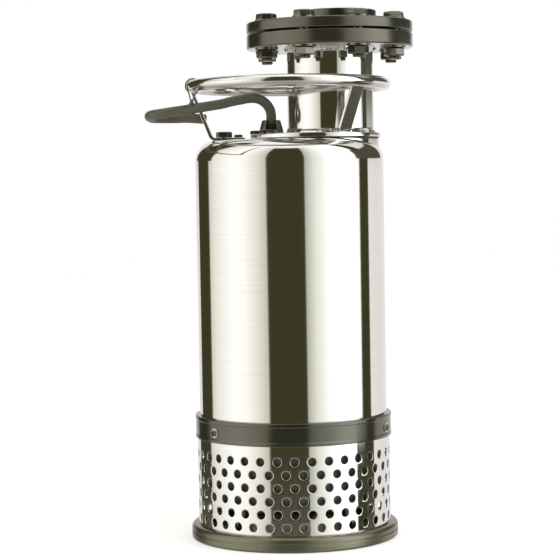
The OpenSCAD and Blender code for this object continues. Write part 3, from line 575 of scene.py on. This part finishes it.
strainerSetup = {
    "radius": 128.5, "wall": 2.0, "holes": 36, "rows": 6, "pitch": 17.0, "firstRow": 30.0, "holeRadius": 5.5,
    "low": 12.0, "high": 154.0, "sideSteps": 8, "edgeRound": 0.6, "edgeAngle": 50.0,
}


def addPunchedCell(bm, setup):
    radius, side, pitch = setup["radius"] * mm, setup["sideSteps"], setup["pitch"] * mm
    bmesh.ops.create_grid(bm, x_segments=side, y_segments=side, size=0.5)
    bmesh.ops.delete(bm, geom=[v for v in bm.verts if not v.is_boundary], context="VERTS")
    bmesh.ops.delete(bm, geom=bm.faces[:], context="FACES_ONLY")
    border = bm.edges[:]
    for vert in bm.verts:
        vert.co = (vert.co.x * fullTurn * radius / setup["holes"], vert.co.y * pitch, 0)
    holeRadius = setup["holeRadius"] * mm
    ring = bmesh.ops.create_circle(bm, cap_ends=False, segments=4 * side, radius=holeRadius)["verts"]
    hole = list({edge for vert in ring for edge in vert.link_edges})
    bmesh.ops.bridge_loops(bm, edges=border + hole)
    spokes = [e for e in bm.edges if len({v in ring for v in e.verts}) == 2]
    bmesh.ops.subdivide_edges(bm, edges=spokes, cuts=1, use_grid_fill=True)
    for vert in bm.verts:  # rolled round the axis
        turn = vert.co.x / radius
        vert.co = (radius * math.sin(turn), -radius * math.cos(turn), vert.co.y)


def makeStrainer(setup):
    bm = bmesh.new()
    addPunchedCell(bm, setup)
    pitch, rows, firstRow = setup["pitch"], setup["rows"], setup["firstRow"]
    cellTurn = fullTurn / setup["holes"]
    bmesh.ops.spin(
        bm, geom=bm.verts[:] + bm.edges[:] + bm.faces[:], cent=(0, 0, 0), axis=(0, 0, 1), dvec=(0, 0, 0),
        angle=fullTurn - cellTurn, steps=setup["holes"] - 1, use_merge=False, use_duplicate=True,
    )
    bmesh.ops.remove_doubles(bm, verts=bm.verts[:], dist=10 * mergeGap)
    row = bm.verts[:] + bm.edges[:] + bm.faces[:]
    for index in range(1, rows):
        copied = onlyVerts(bmesh.ops.duplicate(bm, geom=row)["geom"])
        if index % 2 == 1:
            turnBy(bm, copied, -cellTurn / 2)
        moveBy(bm, copied, z=index * pitch)
    turnBy(bm, bm.verts[:], cellTurn / 2)
    moveBy(bm, bm.verts[:], z=firstRow)
    bmesh.ops.remove_doubles(bm, verts=bm.verts[:], dist=10 * mergeGap)
    bottom, top = firstRow - pitch / 2, firstRow + (rows - 0.5) * pitch
    for level, target in ((bottom, setup["low"]), (top, setup["high"])):
        rimEdges = [e for e in levelEdges(bm, level) if e.is_boundary]
        for vert in onlyVerts(bmesh.ops.extrude_edge_only(bm, edges=rimEdges)["geom"]):
            vert.co.z = target * mm
    bmesh.ops.recalc_face_normals(bm, faces=bm.faces[:])
    outward = [f for f in bm.faces if f.normal.xy.dot(f.calc_center_median().xy) > 0]
    if len(outward) * 2 < len(bm.faces):
        bmesh.ops.reverse_faces(bm, faces=bm.faces[:])
    piece = keepPiece("strainerSheet", bm, "polished_steel", "strainer")
    wall = piece.modifiers.new("wall", "SOLIDIFY")
    wall.thickness = setup["wall"] * mm
    wall.offset = -1
    soft = piece.modifiers.new("holeEdges", "BEVEL")
    soft.width = setup["edgeRound"] * mm
    soft.segments = 2
    soft.limit_method = "ANGLE"
    soft.angle_limit = math.radians(setup["edgeAngle"])


makeStrainer(strainerSetup)


# joint band with a shallow waist, and its three screws

bandSetup = {
    "radius": 131.0, "inner": 128.6, "lipInner": 125.1, "low": 135.0, "high": 165.0, "lip": 4.0,
    "waistDepth": 0.6, "waistSlope": 1.0, "edges": (4.0, 5.0),
}


def makeBand(setup):
    radius, inner, lipInner = setup["radius"], setup["inner"], setup["lipInner"]
    low, high = setup["low"], setup["high"]
    lowEdge, highEdge = low + setup["edges"][0], high - setup["edges"][1]
    waist, slope, under = radius - setup["waistDepth"], setup["waistSlope"], high - setup["lip"]
    points = [
        (inner, low), (radius, low), (radius, lowEdge), (waist, lowEdge + slope), (waist, highEdge - slope),
        (radius, highEdge), (radius, high), (lipInner, high), (lipInner, under), (inner, under),
    ]
    band = spunSection(points, {1: 0.8, 6: 1.6}, 4, 160)
    keepPiece("jointBand", band, "band_paint", "joint_band", sharpAngle=24)


makeBand(bandSetup)

bandScrewSetup = {
    "count": 3, "height": 148.0, "first": -141.8, "head": 4.4, "headTop": 3.0, "shank": 3.0, "shankTop": 1.3,
    "length": 16.0, "washer": (2.9, 6.4, 1.2), "socket": (2.7, 2.3, 1.6),
}


def makeBandScrews(setup, band):
    screws, washers = bmesh.new(), bmesh.new()
    head, top = setup["head"], setup["headTop"]
    bore, rim, seat = setup["washer"]
    mouth, bottom, depth = setup["socket"]
    profile = [(0, seat), (head, seat), (head, top), (mouth, top), (bottom, top - depth), (0, top - depth)]
    for x, y, turn in onCircle(setup["count"], band["radius"] - band["waistDepth"], setup["first"]):
        place = placeAt(x, y, setup["height"], turn) @ Matrix.Rotation(math.pi / 2, 4, "Y")
        screw = spunSection(profile, {2: 0.9, 3: 0.3}, 3, 36)
        addRod(screw, setup["shank"], -setup["length"], setup["shankTop"], sides=20)
        washer = spunSection(blockSection(bore, rim, 0, seat), {2: 0.5}, 3, 36)
        for target, part in ((screws, screw), (washers, washer)):
            bmesh.ops.transform(part, matrix=place, verts=part.verts[:])
            joinInto(target, part)
    keepPiece("bandWashers", washers, "polished_steel", satin=0.25)
    keepPiece("bandScrews", screws, "fastener_steel", "band_screws")


makeBandScrews(bandScrewSetup, bandSetup)


# outer shell: a deep-drawn jacket with a rolled shoulder

shellSetup = {
    "radius": 125.0, "wall": 3.0, "low": 158.0, "shoulder": 28.0, "foot": 128.5, "footRound": 2.0,
    "neckHole": 85.1, "legHoles": (6.5, 3.5),
}


def makeShell(setup):
    radius, wall, shoulder, foot = setup["radius"], setup["wall"], setup["shoulder"], setup["foot"]
    low, high = setup["low"], layout["shellTop"]
    points = [
        (radius - wall, low), (foot, low), (foot, low + wall), (radius, low + wall),
        (radius, high), (0, high), (0, high - wall), (radius - wall, high - wall),
    ]
    rounds = {4: shoulder, 7: shoulder - wall, 3: setup["footRound"]}
    shell = keepPiece("outerShell", spunSection(points, rounds, 24, 224), "polished_steel", "outer_shell")
    holes = bmesh.new()
    addRod(holes, setup["neckHole"], high - shoulder - past, high + past, layout["cover"], 192)
    for x, hole in zip(layout["legBolts"], setup["legHoles"]):
        addRod(holes, hole, high - wall - past, high + past, (x, 0), 32)
    cutOut(shell, holes)


makeShell(shellSetup)


# neck ring, gasket and round cover, all about the same centre

coverSetup = {
    "radius": 87.0, "neck": (72.5, 85.0, 508.0), "gasketInset": 0.6, "glandHole": 9.0, "boltHole": 4.5,
    "bolts": 9, "boltCircle": 78.75, "firstBolt": 45.0, "boltStep": 33.75, "boltTurn": 0.37,
    "bolt": {"flats": 13, "head": 5.3, "shank": 4, "length": 22, "washer": (7.6, 1.2)},
}


def makeCover(setup):
    inner, outer, neckLow = setup["neck"]
    neckTop, low, high, centre = layout["shellTop"], layout["coverLow"], layout["coverTop"], layout["cover"]
    neck = spunSection(blockSection(inner, outer, neckLow, neckTop), {2: 1.5}, 4, 160, centre)
    keepPiece("neckRing", neck, "polished_steel", "neck_ring")
    gasket = blockSection(inner, outer - setup["gasketInset"], neckTop, low)
    keepPiece("coverGasket", spunSection(gasket, centre=centre), "black_rubber", "cover_gasket")
    plate = spunSection(blockSection(0, setup["radius"], low, high), {1: 0.8, 2: 1.8}, 4, 192, centre)
    cover = keepPiece("dischargeCover", plate, "polished_steel", "discharge_cover")
    holes = bmesh.new()
    addRod(holes, layout["pipeBore"], low - past, high + past, layout["pipe"], 128)
    addRod(holes, setup["glandHole"], low - past, high + past, layout["gland"], 48)
    for x, y, turn in boltPlaces(setup, centre):
        addRod(holes, setup["boltHole"], low - past, high + past, (x, y), 32)
    cutOut(cover, holes)


makeCover(coverSetup)


# hexagon screws: chamfered head on a washer, plain shank below

hexSetup = {"chamfer": 0.11, "edge": 0.02, "shankIn": 0.2}  # chamfer and edge are shares of the flats


def addHexScrew(bm, at, low, turn, size):
    flats, top = size["flats"], low + size["head"]
    rim, thick = size["washer"]
    seat = low + thick
    screw = spunSection(blockSection(0, rim, low, seat), {1: 0.2, 2: 0.4}, 2, 32)
    head = bmesh.new()
    addHexRod(head, flats, seat, top)
    bevelSharp(head, hexSetup["chamfer"] * flats, 3, edges=levelEdges(head, top))
    bevelSharp(head, hexSetup["edge"] * flats, 2, 45.0)
    joinInto(screw, head)
    addRod(screw, size["shank"], low - size["length"], seat + hexSetup["shankIn"])
    bmesh.ops.transform(screw, matrix=placeAt(*at, turn=turn), verts=screw.verts[:])
    joinInto(bm, screw)


def makeCoverBolts(setup):
    bm = bmesh.new()
    for index, (x, y, turn) in enumerate(boltPlaces(setup, layout["cover"])):
        addHexScrew(bm, (x, y), layout["coverTop"], turn + index * setup["boltTurn"], setup["bolt"])
    keepPiece("coverBolts", bm, "fastener_steel", "cover_bolts")


makeCoverBolts(coverSetup)

legBoltSetup = {
    "turn": 0.4,
    "bolts": [
        {"flats": 19, "head": 8.0, "shank": 6.0, "length": 25.0, "washer": (11.02, 1.0)},
        {"flats": 10, "head": 4.0, "shank": 3.0, "length": 25.0, "washer": (5.8, 1.0)},
    ],
}


def makeLegBolts(setup):
    bm = bmesh.new()
    for x, size in zip(layout["legBolts"], setup["bolts"]):
        addHexScrew(bm, (x, 0), layout["shellTop"] + layout["legThick"], setup["turn"], size)
    keepPiece("legBolts", bm, "fastener_steel", "leg_bolts")


makeLegBolts(legBoltSetup)


# discharge pipe, welded to the cover and into its flange

pipeSetup = {
    "radius": 57.15, "high": 663.0, "weld": 4.0, "weldIn": 0.3,
    "bead": (0.55, 0.75, 1.3),  # shares of the weld
    "ripple": ((0.004, 48, 0), (0.003, 19, 1)), "rippleFrom": 0.4,
}


def makePipe(setup):
    radius, bore, high, weld = setup["radius"], layout["pipeBore"], setup["high"], setup["weld"]
    low, face = layout["coverTop"], layout["flangeLow"]
    out, up, end = [share * weld for share in setup["bead"]]
    points = [
        (bore, low), (radius + weld, low), (radius + out, low + up), (radius, low + end),
        (radius, face - end), (radius + out, face - up), (radius + weld, face),
        (radius, face + setup["weldIn"]), (radius, high), (bore, high),
    ]
    bm = spunSection(points, {2: 1.2, 3: 1.0, 4: 1.0, 5: 1.2}, 4, 192)
    for vert in bm.verts:
        if math.hypot(vert.co.x, vert.co.y) > (radius + setup["rippleFrom"]) * mm:
            turn = math.atan2(vert.co.y, vert.co.x)
            grow = 1 + sum(size * math.sin(waves * turn + start) for size, waves, start in setup["ripple"])
            vert.co.x *= grow
            vert.co.y *= grow
    moveBy(bm, bm.verts[:], *layout["pipe"])
    keepPiece("dischargePipe", bm, "polished_steel", "discharge_pipe", sharpAngle=40)


makePipe(pipeSetup)


# flange pair: the lower one on the pipe, the upper one with an off-centre threaded hub

flangeSetup = {
    "radius": 110.0, "bore": 57.2, "high": 666.0, "gasket": 80.6, "counterLow": 668.0, "counterHigh": 682.0,
    "hubX": 67.05, "hub": 51.3, "hubTop": 697.0, "hubSeat": 2.0, "hubFit": 0.02, "hubWeld": (3.4, 3.2, 0.5),
    "port": 42.5, "relief": 1.6, "thread": {"ridges": 22, "depth": 1.1, "step": 1.15, "start": 2.0},
    "bolts": 8, "boltCircle": 90.0, "firstBolt": 22.5, "hole": 9.0, "machinedHighlight": 0.4,
}


def flangeHoles(setup, low, high):
    holes = bmesh.new()
    for x, y, turn in boltPlaces(setup, layout["pipe"]):
        addRod(holes, setup["hole"], low - past, high + past, (x, y), 40)
    return holes


def makeFlanges(setup):
    radius, bore, centre = setup["radius"], setup["bore"], layout["pipe"]
    low, high = layout["flangeLow"], setup["high"]
    bottom, top = setup["counterLow"], setup["counterHigh"]
    lower = spunSection(blockSection(bore, radius, low, high), {1: 2.4, 2: 1.6}, 4, 192, centre)
    flange = keepPiece("dischargeFlange", lower, "flange_paint", "discharge_flange")
    cutOut(flange, flangeHoles(setup, low, high))
    bareTo = (low + setup["machinedHighlight"]) * mm  # bare machined seat for the nuts, also a painted highlight for light from below
    markPoints(flange.data, "machinedHighlight", lambda place: 1.0 if place.z < bareTo else 0.0)
    gasket = spunSection(blockSection(bore, setup["gasket"], high, bottom), centre=centre)
    keepPiece("flangeGasket", gasket, "black_rubber", "flange_gasket")
    upper = spunSection(blockSection(0, radius, bottom, top), {1: 1.4, 2: 2.4}, 4, 192, centre)
    counter = keepPiece("counterFlange", upper, "flange_paint", "counter_flange")
    holes = flangeHoles(setup, bottom, top)
    addRod(holes, setup["hub"] - setup["hubSeat"], bottom - past, top + past, (setup["hubX"], 0), 128)
    cutOut(counter, holes)


def makeHub(setup):
    bottom, top, hubTop = setup["counterLow"], setup["counterHigh"], setup["hubTop"]
    hub, port, fit, thread = setup["hub"], setup["port"], setup["hubFit"], setup["thread"]
    seat, bore = hub - setup["hubSeat"] - fit, port + setup["relief"]
    out, up, under = setup["hubWeld"]
    points = [
        (bore, bottom), (seat, bottom), (seat, top - under), (hub + out, top - fit), (hub, top + up),
        (hub, hubTop), (bore, hubTop),
    ]
    points += ridgeSection(
        thread["ridges"], port + thread["depth"], port, hubTop - thread["start"], -thread["step"]
    )
    section = spunSection(points, {4: 2.0, 5: 1.6}, 4, 160, (setup["hubX"], 0))
    keepPiece("counterHub", section, "flange_paint", sharpAngle=30)


makeFlanges(flangeSetup)
makeHub(flangeSetup)


# flange bolts with threaded tails, and their nuts

flangeBoltSetup = {
    "bolt": {"flats": 24.0, "head": 10.0, "shank": 8.0, "length": 20.0, "washer": (15.2, 2.2)},
    "boltTurn": 0.31, "tail": 4.0, "tailIn": 1.0,
    "nut": 13.0, "nutBore": 8.3, "nutChamfer": 1.9, "nutTurn": 0.83,
    "thread": {"ridges": 18, "depth": 1.0, "pitch": 2.0, "start": 0.9, "tip": 0.4},
}


def makeFlangeBolts(setup, flange):
    bolts, nuts = bmesh.new(), bmesh.new()
    size, thread = setup["bolt"], setup["thread"]
    top, under = flange["counterHigh"], layout["flangeLow"]
    rim, thick = size["washer"]
    nutLow, seat = under - setup["nut"], under - thick
    low, tailTop = nutLow - setup["tail"], top - size["length"] + setup["tailIn"]
    outer, root = size["shank"], size["shank"] - thread["depth"]
    ridges = ridgeSection(thread["ridges"], root, outer, low + thread["start"], thread["pitch"] / 2)
    tail = [(0, low), (root - thread["tip"], low), *ridges, (outer, tailTop), (0, tailTop)]
    for index, (x, y, turn) in enumerate(boltPlaces(flange, layout["pipe"])):
        addHexScrew(bolts, (x, y), top, turn + index * setup["boltTurn"], size)
        spunSection(tail, steps=28, centre=(x, y), bm=bolts)
        nut = bmesh.new()
        addHexRod(nut, size["flats"], nutLow, seat)
        bevelSharp(nut, setup["nutChamfer"], 3, 80.0, levelEdges(nut))
        spunSection(blockSection(setup["nutBore"], rim, seat, under), {1: 0.5}, 2, 32, bm=nut)
        place = placeAt(x, y, turn=turn + index * setup["nutTurn"])
        bmesh.ops.transform(nut, matrix=place, verts=nut.verts[:])
        joinInto(nuts, nut)
    keepPiece("flangeBolts", bolts, "fastener_steel", "flange_bolts", sharpAngle=40)
    keepPiece("flangeNuts", nuts, "fastener_steel", "flange_nuts", sharpAngle=40)


makeFlangeBolts(flangeBoltSetup, flangeSetup)


# lifting ring and its three legs

ringSetup = {"radius": 128.0, "bar": 8.0, "height": 600.0, "satin": 0.06}


def makeRing(setup):
    bm = bmesh.new()
    upright = placeAt(setup["radius"], 0, setup["height"]) @ Matrix.Rotation(math.pi / 2, 4, "X")
    bmesh.ops.create_circle(bm, cap_ends=False, segments=32, radius=setup["bar"] * mm, matrix=upright)
    spinRound(bm, 192)
    keepPiece("liftingRing", bm, "polished_steel", "lifting_ring", satin=setup["satin"])


makeRing(ringSetup)

legSetup = {
    "width": 22.0, "footRadius": 102.0, "topRadius": 127.2, "topHeight": 593.6, "tabEnd": 58.0,
    "tabRounds": {1: 6.0, 4: 3.0}, "edge": 0.9, "satin": 0.10,
}


def makeLeg(setup, name, node, turn, foot, tab):
    bm = bmesh.new()
    thick, width, up, end = layout["legThick"], setup["width"], setup["topHeight"], setup["tabEnd"]
    low, high = setup["footRadius"], setup["topRadius"]
    inner, outer = low - thick / 2, low + thick / 2
    points = [(outer, foot), (high + thick / 2, up), (high - thick / 2, up)]
    if tab:
        points = [(end, foot), *points, (inner, foot + thick), (end, foot + thick)]
    else:
        points = [(inner, foot), *points]
    verts = wireLoop(bm, points)
    roundCorners(bm, verts, setup["tabRounds"] if tab else {}, 5)
    bmesh.ops.contextual_create(bm, geom=bm.edges[:])
    grown = bmesh.ops.extrude_face_region(bm, geom=bm.faces[:])["geom"]
    moveBy(bm, onlyVerts(grown), y=width)
    moveBy(bm, bm.verts[:], y=-width / 2)
    bmesh.ops.recalc_face_normals(bm, faces=bm.faces[:])
    bevelSharp(bm, setup["edge"], 3, 50.0)
    turnBy(bm, bm.verts[:], math.radians(turn))
    keepPiece(name, bm, "polished_steel", node, satin=setup["satin"])


leftTurn, frontTurn, rearTurn = layout["legTurns"]
makeLeg(legSetup, "leftLeg", "left_leg", leftTurn, layout["shellTop"], True)
makeLeg(legSetup, "frontLeg", "front_leg", frontTurn, layout["coverTop"], False)
makeLeg(legSetup, "rearLeg", "rear_leg", rearTurn, layout["coverTop"], False)


# weld beads where the legs meet the ring and the cover

weldSetup = {
    "ring": (124.2, 592.2), "foot": (99.2, 536.2), "length": 22.0, "drops": 12, "bead": 2.1,
    "uneven": 0.16, "unevenStep": 2.7,
}


def makeWelds(setup):
    bm = bmesh.new()
    drops = setup["drops"]
    places = [(turn, *setup["ring"]) for turn in layout["legTurns"]]
    places += [(turn, *setup["foot"]) for turn in layout["legTurns"][1:]]
    for turn, radius, height in places:
        for index in range(drops):
            along = (index / (drops - 1) - 0.5) * setup["length"]
            size = setup["bead"] * (1 + setup["uneven"] * math.sin(setup["unevenStep"] * index + turn))
            made = bmesh.ops.create_uvsphere(bm, u_segments=10, v_segments=7, radius=size * mm)["verts"]
            moveBy(bm, made, radius, along, height)
            turnBy(bm, made, math.radians(turn))
    keepPiece("legWelds", bm, "polished_steel")


makeWelds(weldSetup)


# cable gland: a flange on the cover and a two-cheek clamp round the cable

glandSetup = {
    "flange": 541.5, "top": 554.0, "flangeRadius": 16.0, "stem": (8.95, 16.0), "outer": (15.5, 12.0),
    "inner": 6.8, "flare": 0.4, "cheek": 118.0, "cheekEdge": 0.5,
}


def makeGland(setup):
    low, mid, top = layout["coverTop"], setup["flange"], setup["top"]
    radius, inner = setup["flangeRadius"], setup["inner"]
    stem, depth = setup["stem"]
    wide, narrow = setup["outer"]
    under = low - depth
    body = [(inner, under), (stem, under), (stem, low), (radius, low), (radius, mid), (inner, mid)]
    flange = spunSection(body, {3: 0.6, 4: 1.6}, 4, 64, layout["gland"])
    keepPiece("glandFlange", flange, "gland_metal", "gland_body")
    clamp = bmesh.new()
    sweep = math.radians(setup["cheek"])
    for middle in (0, math.pi):
        cheek = bmesh.new()
        verts = wireLoop(cheek, [(inner, mid), (wide, mid), (narrow, top), (inner + setup["flare"], top)])
        roundCorners(cheek, verts, {2: 1.6, 3: 0.6}, 3)
        bmesh.ops.contextual_create(cheek, geom=cheek.edges[:])
        turnBy(cheek, cheek.verts[:], middle - sweep / 2)
        bmesh.ops.spin(
            cheek, geom=cheek.faces[:], cent=(0, 0, 0), axis=(0, 0, 1), dvec=(0, 0, 0), angle=sweep, steps=20,
            use_merge=False, use_duplicate=False,
        )
        bmesh.ops.recalc_face_normals(cheek, faces=cheek.faces[:])
        bevelSharp(cheek, setup["cheekEdge"], 2, 60.0)
        joinInto(clamp, cheek)
    moveBy(clamp, clamp.verts[:], *layout["gland"])
    keepPiece("glandClamp", clamp, "gland_metal", "gland_nut")


makeGland(glandSetup)


# tie that hangs the cable from the ring: two turns round the bar, two round the cable

tieSetup = {
    "at": (-127.0, -26.0, 570.0), "ring": (-125.3, 600.0), "cord": 0.9, "ringLoop": 9.2, "cableLoop": 7.7,
    "heading": -24.0, "sides": ((-0.9, 1.0), (0.9, 1.04)),  # sideways, spread
    "arc": (-50, 230), "arcPoints": 11, "loopPoints": 12,
    "strands": (-2.5, 3.2), "strandDrop": 4.0, "pinch": 0.6, "loopSpread": 1.2,
    "knot": 580.6, "knotSize": 2.6, "knotDrop": 0.6,
}


def makeTie(setup):
    x, y, z = setup["at"]
    ringX, ringZ = setup["ring"]
    knot, wrap = setup["knot"], setup["cableLoop"]
    left, right = setup["strands"]
    strandZ = (knot + ringZ) / 2 - setup["strandDrop"]
    start, end = setup["arc"]
    steps = setup["arcPoints"] - 1
    arc = [math.radians(start + (end - start) * i / steps) for i in range(steps + 1)]
    turns = [fullTurn * i / setup["loopPoints"] for i in range(setup["loopPoints"])]
    heading = math.radians(setup["heading"] + 90)
    loops = []
    for side, spread in setup["sides"]:
        reach = spread * setup["ringLoop"]
        loop = [(ringX + reach * math.cos(t), y + side, ringZ + reach * math.sin(t)) for t in arc]
        loop.append((x + left, y + side, strandZ))
        loop.append((x, y + side * setup["pinch"], knot))
        loop.append((x + right, y + side, strandZ))
        loops.append(loop)
        loopX = x + side * setup["loopSpread"]
        across = [(wrap * math.cos(t), wrap * math.sin(t)) for t in turns]
        loops.append([(loopX + a * math.cos(heading), y + a * math.sin(heading), z + b) for a, b in across])
    holder = roundLine("cableTie", loops, setup["cord"], 3, 12, True)
    mesh = evaluatedMesh(holder)
    line = holder.data
    bpy.data.objects.remove(holder)
    bpy.data.curves.remove(line)
    bm = bmesh.new()
    bm.from_mesh(mesh)
    bpy.data.meshes.remove(mesh)
    bmesh.ops.remove_doubles(bm, verts=bm.verts[:], dist=mergeGap)
    made = bmesh.ops.create_uvsphere(bm, u_segments=16, v_segments=10, radius=setup["knotSize"] * mm)["verts"]
    moveBy(bm, made, x, y, knot - setup["knotDrop"])
    return keepPiece("cableTie", bm, "tie_cord", "cable_tie")


cableTie = makeTie(tieSetup)


# cut end of the cable: four sleeved cores stand a little out of the sheath

coreSetup = {
    "count": 4, "first": 45, "spread": 3.1, "depth": 2.0,
    "pieces": [  # name, slot, radius, how far it stands out
        ("coreSleeves", "black_rubber", 2.1, 0.7), ("coreWires", "copper", 1.35, 0.9),
    ],
}


def makeCableEnd(setup, route):
    last = Vector(route[-1])
    heading = (last - Vector(route[-2])).normalized()
    place = Matrix.Translation(last * mm) @ heading.to_track_quat("Z", "Y").to_matrix().to_4x4()
    made = []
    for name, slotName, radius, out in setup["pieces"]:
        bm = bmesh.new()
        core = blockSection(0, radius, -setup["depth"], out)
        for x, y, turn in onCircle(setup["count"], setup["spread"], setup["first"]):
            spunSection(core, {2: 0.3}, 3, 20, (x, y), bm)
        bmesh.ops.transform(bm, matrix=place, verts=bm.verts[:])
        made.append(keepPiece(name, bm, slotName))
    return made


cableEnd = makeCableEnd(coreSetup, cableSetup["route"])

# broad faces stay flat beside their rounded edges
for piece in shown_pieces():
    if piece.type == "MESH":
        even = piece.modifiers.new("evenNormals", "WEIGHTED_NORMAL")
        even.keep_sharp = True
        even.weight = 100


# light: a tent of bright panels with dark gaps, seen by the polished steel, and a white sweep

tentDark = (0.053, 0.050, 0.023)
tentGrey = (0.10, 0.098, 0.075)
tentBack = (0.90, 0.87, 0.86)
tentBright = (1.95, 1.98, 2.02)

tentSetup = {
    "stops": [  # azimuth, colour
        (-180, tentBack), (-149, (0.85, 0.82, 0.80)), (-148, tentDark), (-117, tentDark),
        (-116, (0.80, 0.78, 0.68)), (-104, (1.02, 1.00, 0.93)), (-75, (1.30, 1.30, 1.28)),
        (-58, (1.24, 1.23, 1.18)), (-42, (0.98, 0.96, 0.87)), (-29, (0.68, 0.66, 0.57)),
        (-28, tentDark), (17, tentDark), (18, (0.55, 0.56, 0.48)), (30, (0.96, 0.97, 0.89)),
        (44, (1.28, 1.28, 1.25)), (60, tentBright), (85, tentBright), (93, (1.15, 1.16, 1.10)),
        (94, tentDark), (110, tentDark), (111, (1.0, 0.93, 0.90)), (130, (0.92, 0.87, 0.87)), (180, tentBack),
    ],
    "levels": [  # height from and to, share below and above, colour
        (0.86, 0.93, 0.0, 1.0, (1.15, 1.15, 1.13)),
        (-0.36, -0.13, 0.72, 0.0, (0.58, 0.57, 0.53)),
        (-0.68, -0.50, 0.72, 0.0, (0.32, 0.315, 0.28)),
    ],
    "patches": [  # azimuth from and to, height from and to, soft edge, colour
        (80, 96, -1.0, -0.129, 0.004, tentDark), (88, 150, 0.035, 0.55, 0.03, (0.085, 0.084, 0.060)),
        (-156, -110, 0.035, 0.50, 0.03, tentDark), (70, 128, -0.72, -0.43, 0.02, (0.075, 0.073, 0.050)),
        (-118, -64, 0.43, 0.475, 0.012, tentGrey), (-67, -63, 0.43, 0.90, 0.008, tentGrey),
    ],
}


def rampPlace(azimuth):
    return azimuth / 360 + 0.5


def insideMask(tree, value, first, last, edge):
    half = (last - first) / 2
    away = addMath(tree, "ABSOLUTE", addMath(tree, "SUBTRACT", value, (first + last) / 2))
    return mapRange(tree, away, (half - edge, half + edge), (1.0, 0.0), "SMOOTHSTEP")


def makeTent(setup):
    world = bpy.data.worlds.new("tent")
    world.use_nodes = True
    scene.world = world
    tree = world.node_tree
    tree.nodes.clear()
    coords = addNode(tree, "ShaderNodeTexCoord")
    parts = addNode(tree, "ShaderNodeSeparateXYZ")
    tree.links.new(coords.outputs["Generated"], parts.inputs[0])
    height = parts.outputs["Z"]
    turn = addMath(tree, "ARCTAN2", parts.outputs["X"], addMath(tree, "MULTIPLY", parts.outputs["Y"], -1.0))
    around = addMath(tree, "MULTIPLY_ADD", turn, 1 / fullTurn, 0.5)
    ramp = addNode(tree, "ShaderNodeValToRGB")
    tree.links.new(around, ramp.inputs[0])
    stops = ramp.color_ramp.elements
    while len(stops) > 1:
        stops.remove(stops[-1])
    for index, (azimuth, colour) in enumerate(setup["stops"]):
        place = rampPlace(azimuth)
        stop = stops[0] if index == 0 else stops.new(place)
        stop.position = place
        stop.color = (*colour, 1.0)
    shade = ramp.outputs["Color"]
    for first, last, below, above, colour in setup["levels"]:
        mask = mapRange(tree, height, (first, last), (below, above), "SMOOTHSTEP")
        shade = mixColours(tree, mask, shade, colour)
    for start, end, bottom, top, soft, colour in setup["patches"]:
        sideways = insideMask(tree, around, rampPlace(start), rampPlace(end), soft / 4)
        upright = insideMask(tree, height, bottom, top, soft)
        shade = mixColours(tree, addMath(tree, "MULTIPLY", sideways, upright), shade, colour)
    tent = addNode(tree, "ShaderNodeBackground")
    tree.links.new(shade, tent.inputs["Color"])
    sweep = addNode(tree, "ShaderNodeBackground", values={"Color": (1, 1, 1, 1), "Strength": 1.0})
    path = addNode(tree, "ShaderNodeLightPath")
    choice = addNode(tree, "ShaderNodeMixShader")
    tree.links.new(path.outputs["Is Camera Ray"], choice.inputs[0])
    tree.links.new(tent.outputs[0], choice.inputs[1])
    tree.links.new(sweep.outputs[0], choice.inputs[2])
    out = addNode(tree, "ShaderNodeOutputWorld")
    tree.links.new(choice.outputs[0], out.inputs["Surface"])


makeTent(tentSetup)

floorSetup = {
    "size": 7.0, "dark": (0.86, 0.86, 0.85), "light": (0.88, 0.88, 0.87), "roughness": 0.8, "glow": 0.45,
}


def makeFloor(setup):
    bm = bmesh.new()
    bmesh.ops.create_grid(bm, x_segments=2, y_segments=2, size=setup["size"])
    mesh = bpy.data.meshes.new("floor")
    bm.to_mesh(mesh)
    bm.free()
    material, tree, shader = newMaterial("paleFloor", 0.0)
    grain = placeGroup(tree, castGrain, {"Size": 90.0, "Blotch": 3.0})
    tint = mixColours(tree, grain.outputs["Mask"], setup["dark"], setup["light"])
    tree.links.new(tint, shader.inputs["Base Color"])
    shader.inputs["Roughness"].default_value = setup["roughness"]
    shader.inputs["Emission Color"].default_value = (1, 1, 1, 1)
    shader.inputs["Emission Strength"].default_value = setup["glow"]
    mesh.materials.append(material)
    floor = bpy.data.objects.new("floor", mesh)
    floor.visible_glossy = False
    scene.collection.objects.link(floor)


makeFloor(floorSetup)
print("light and floor made")
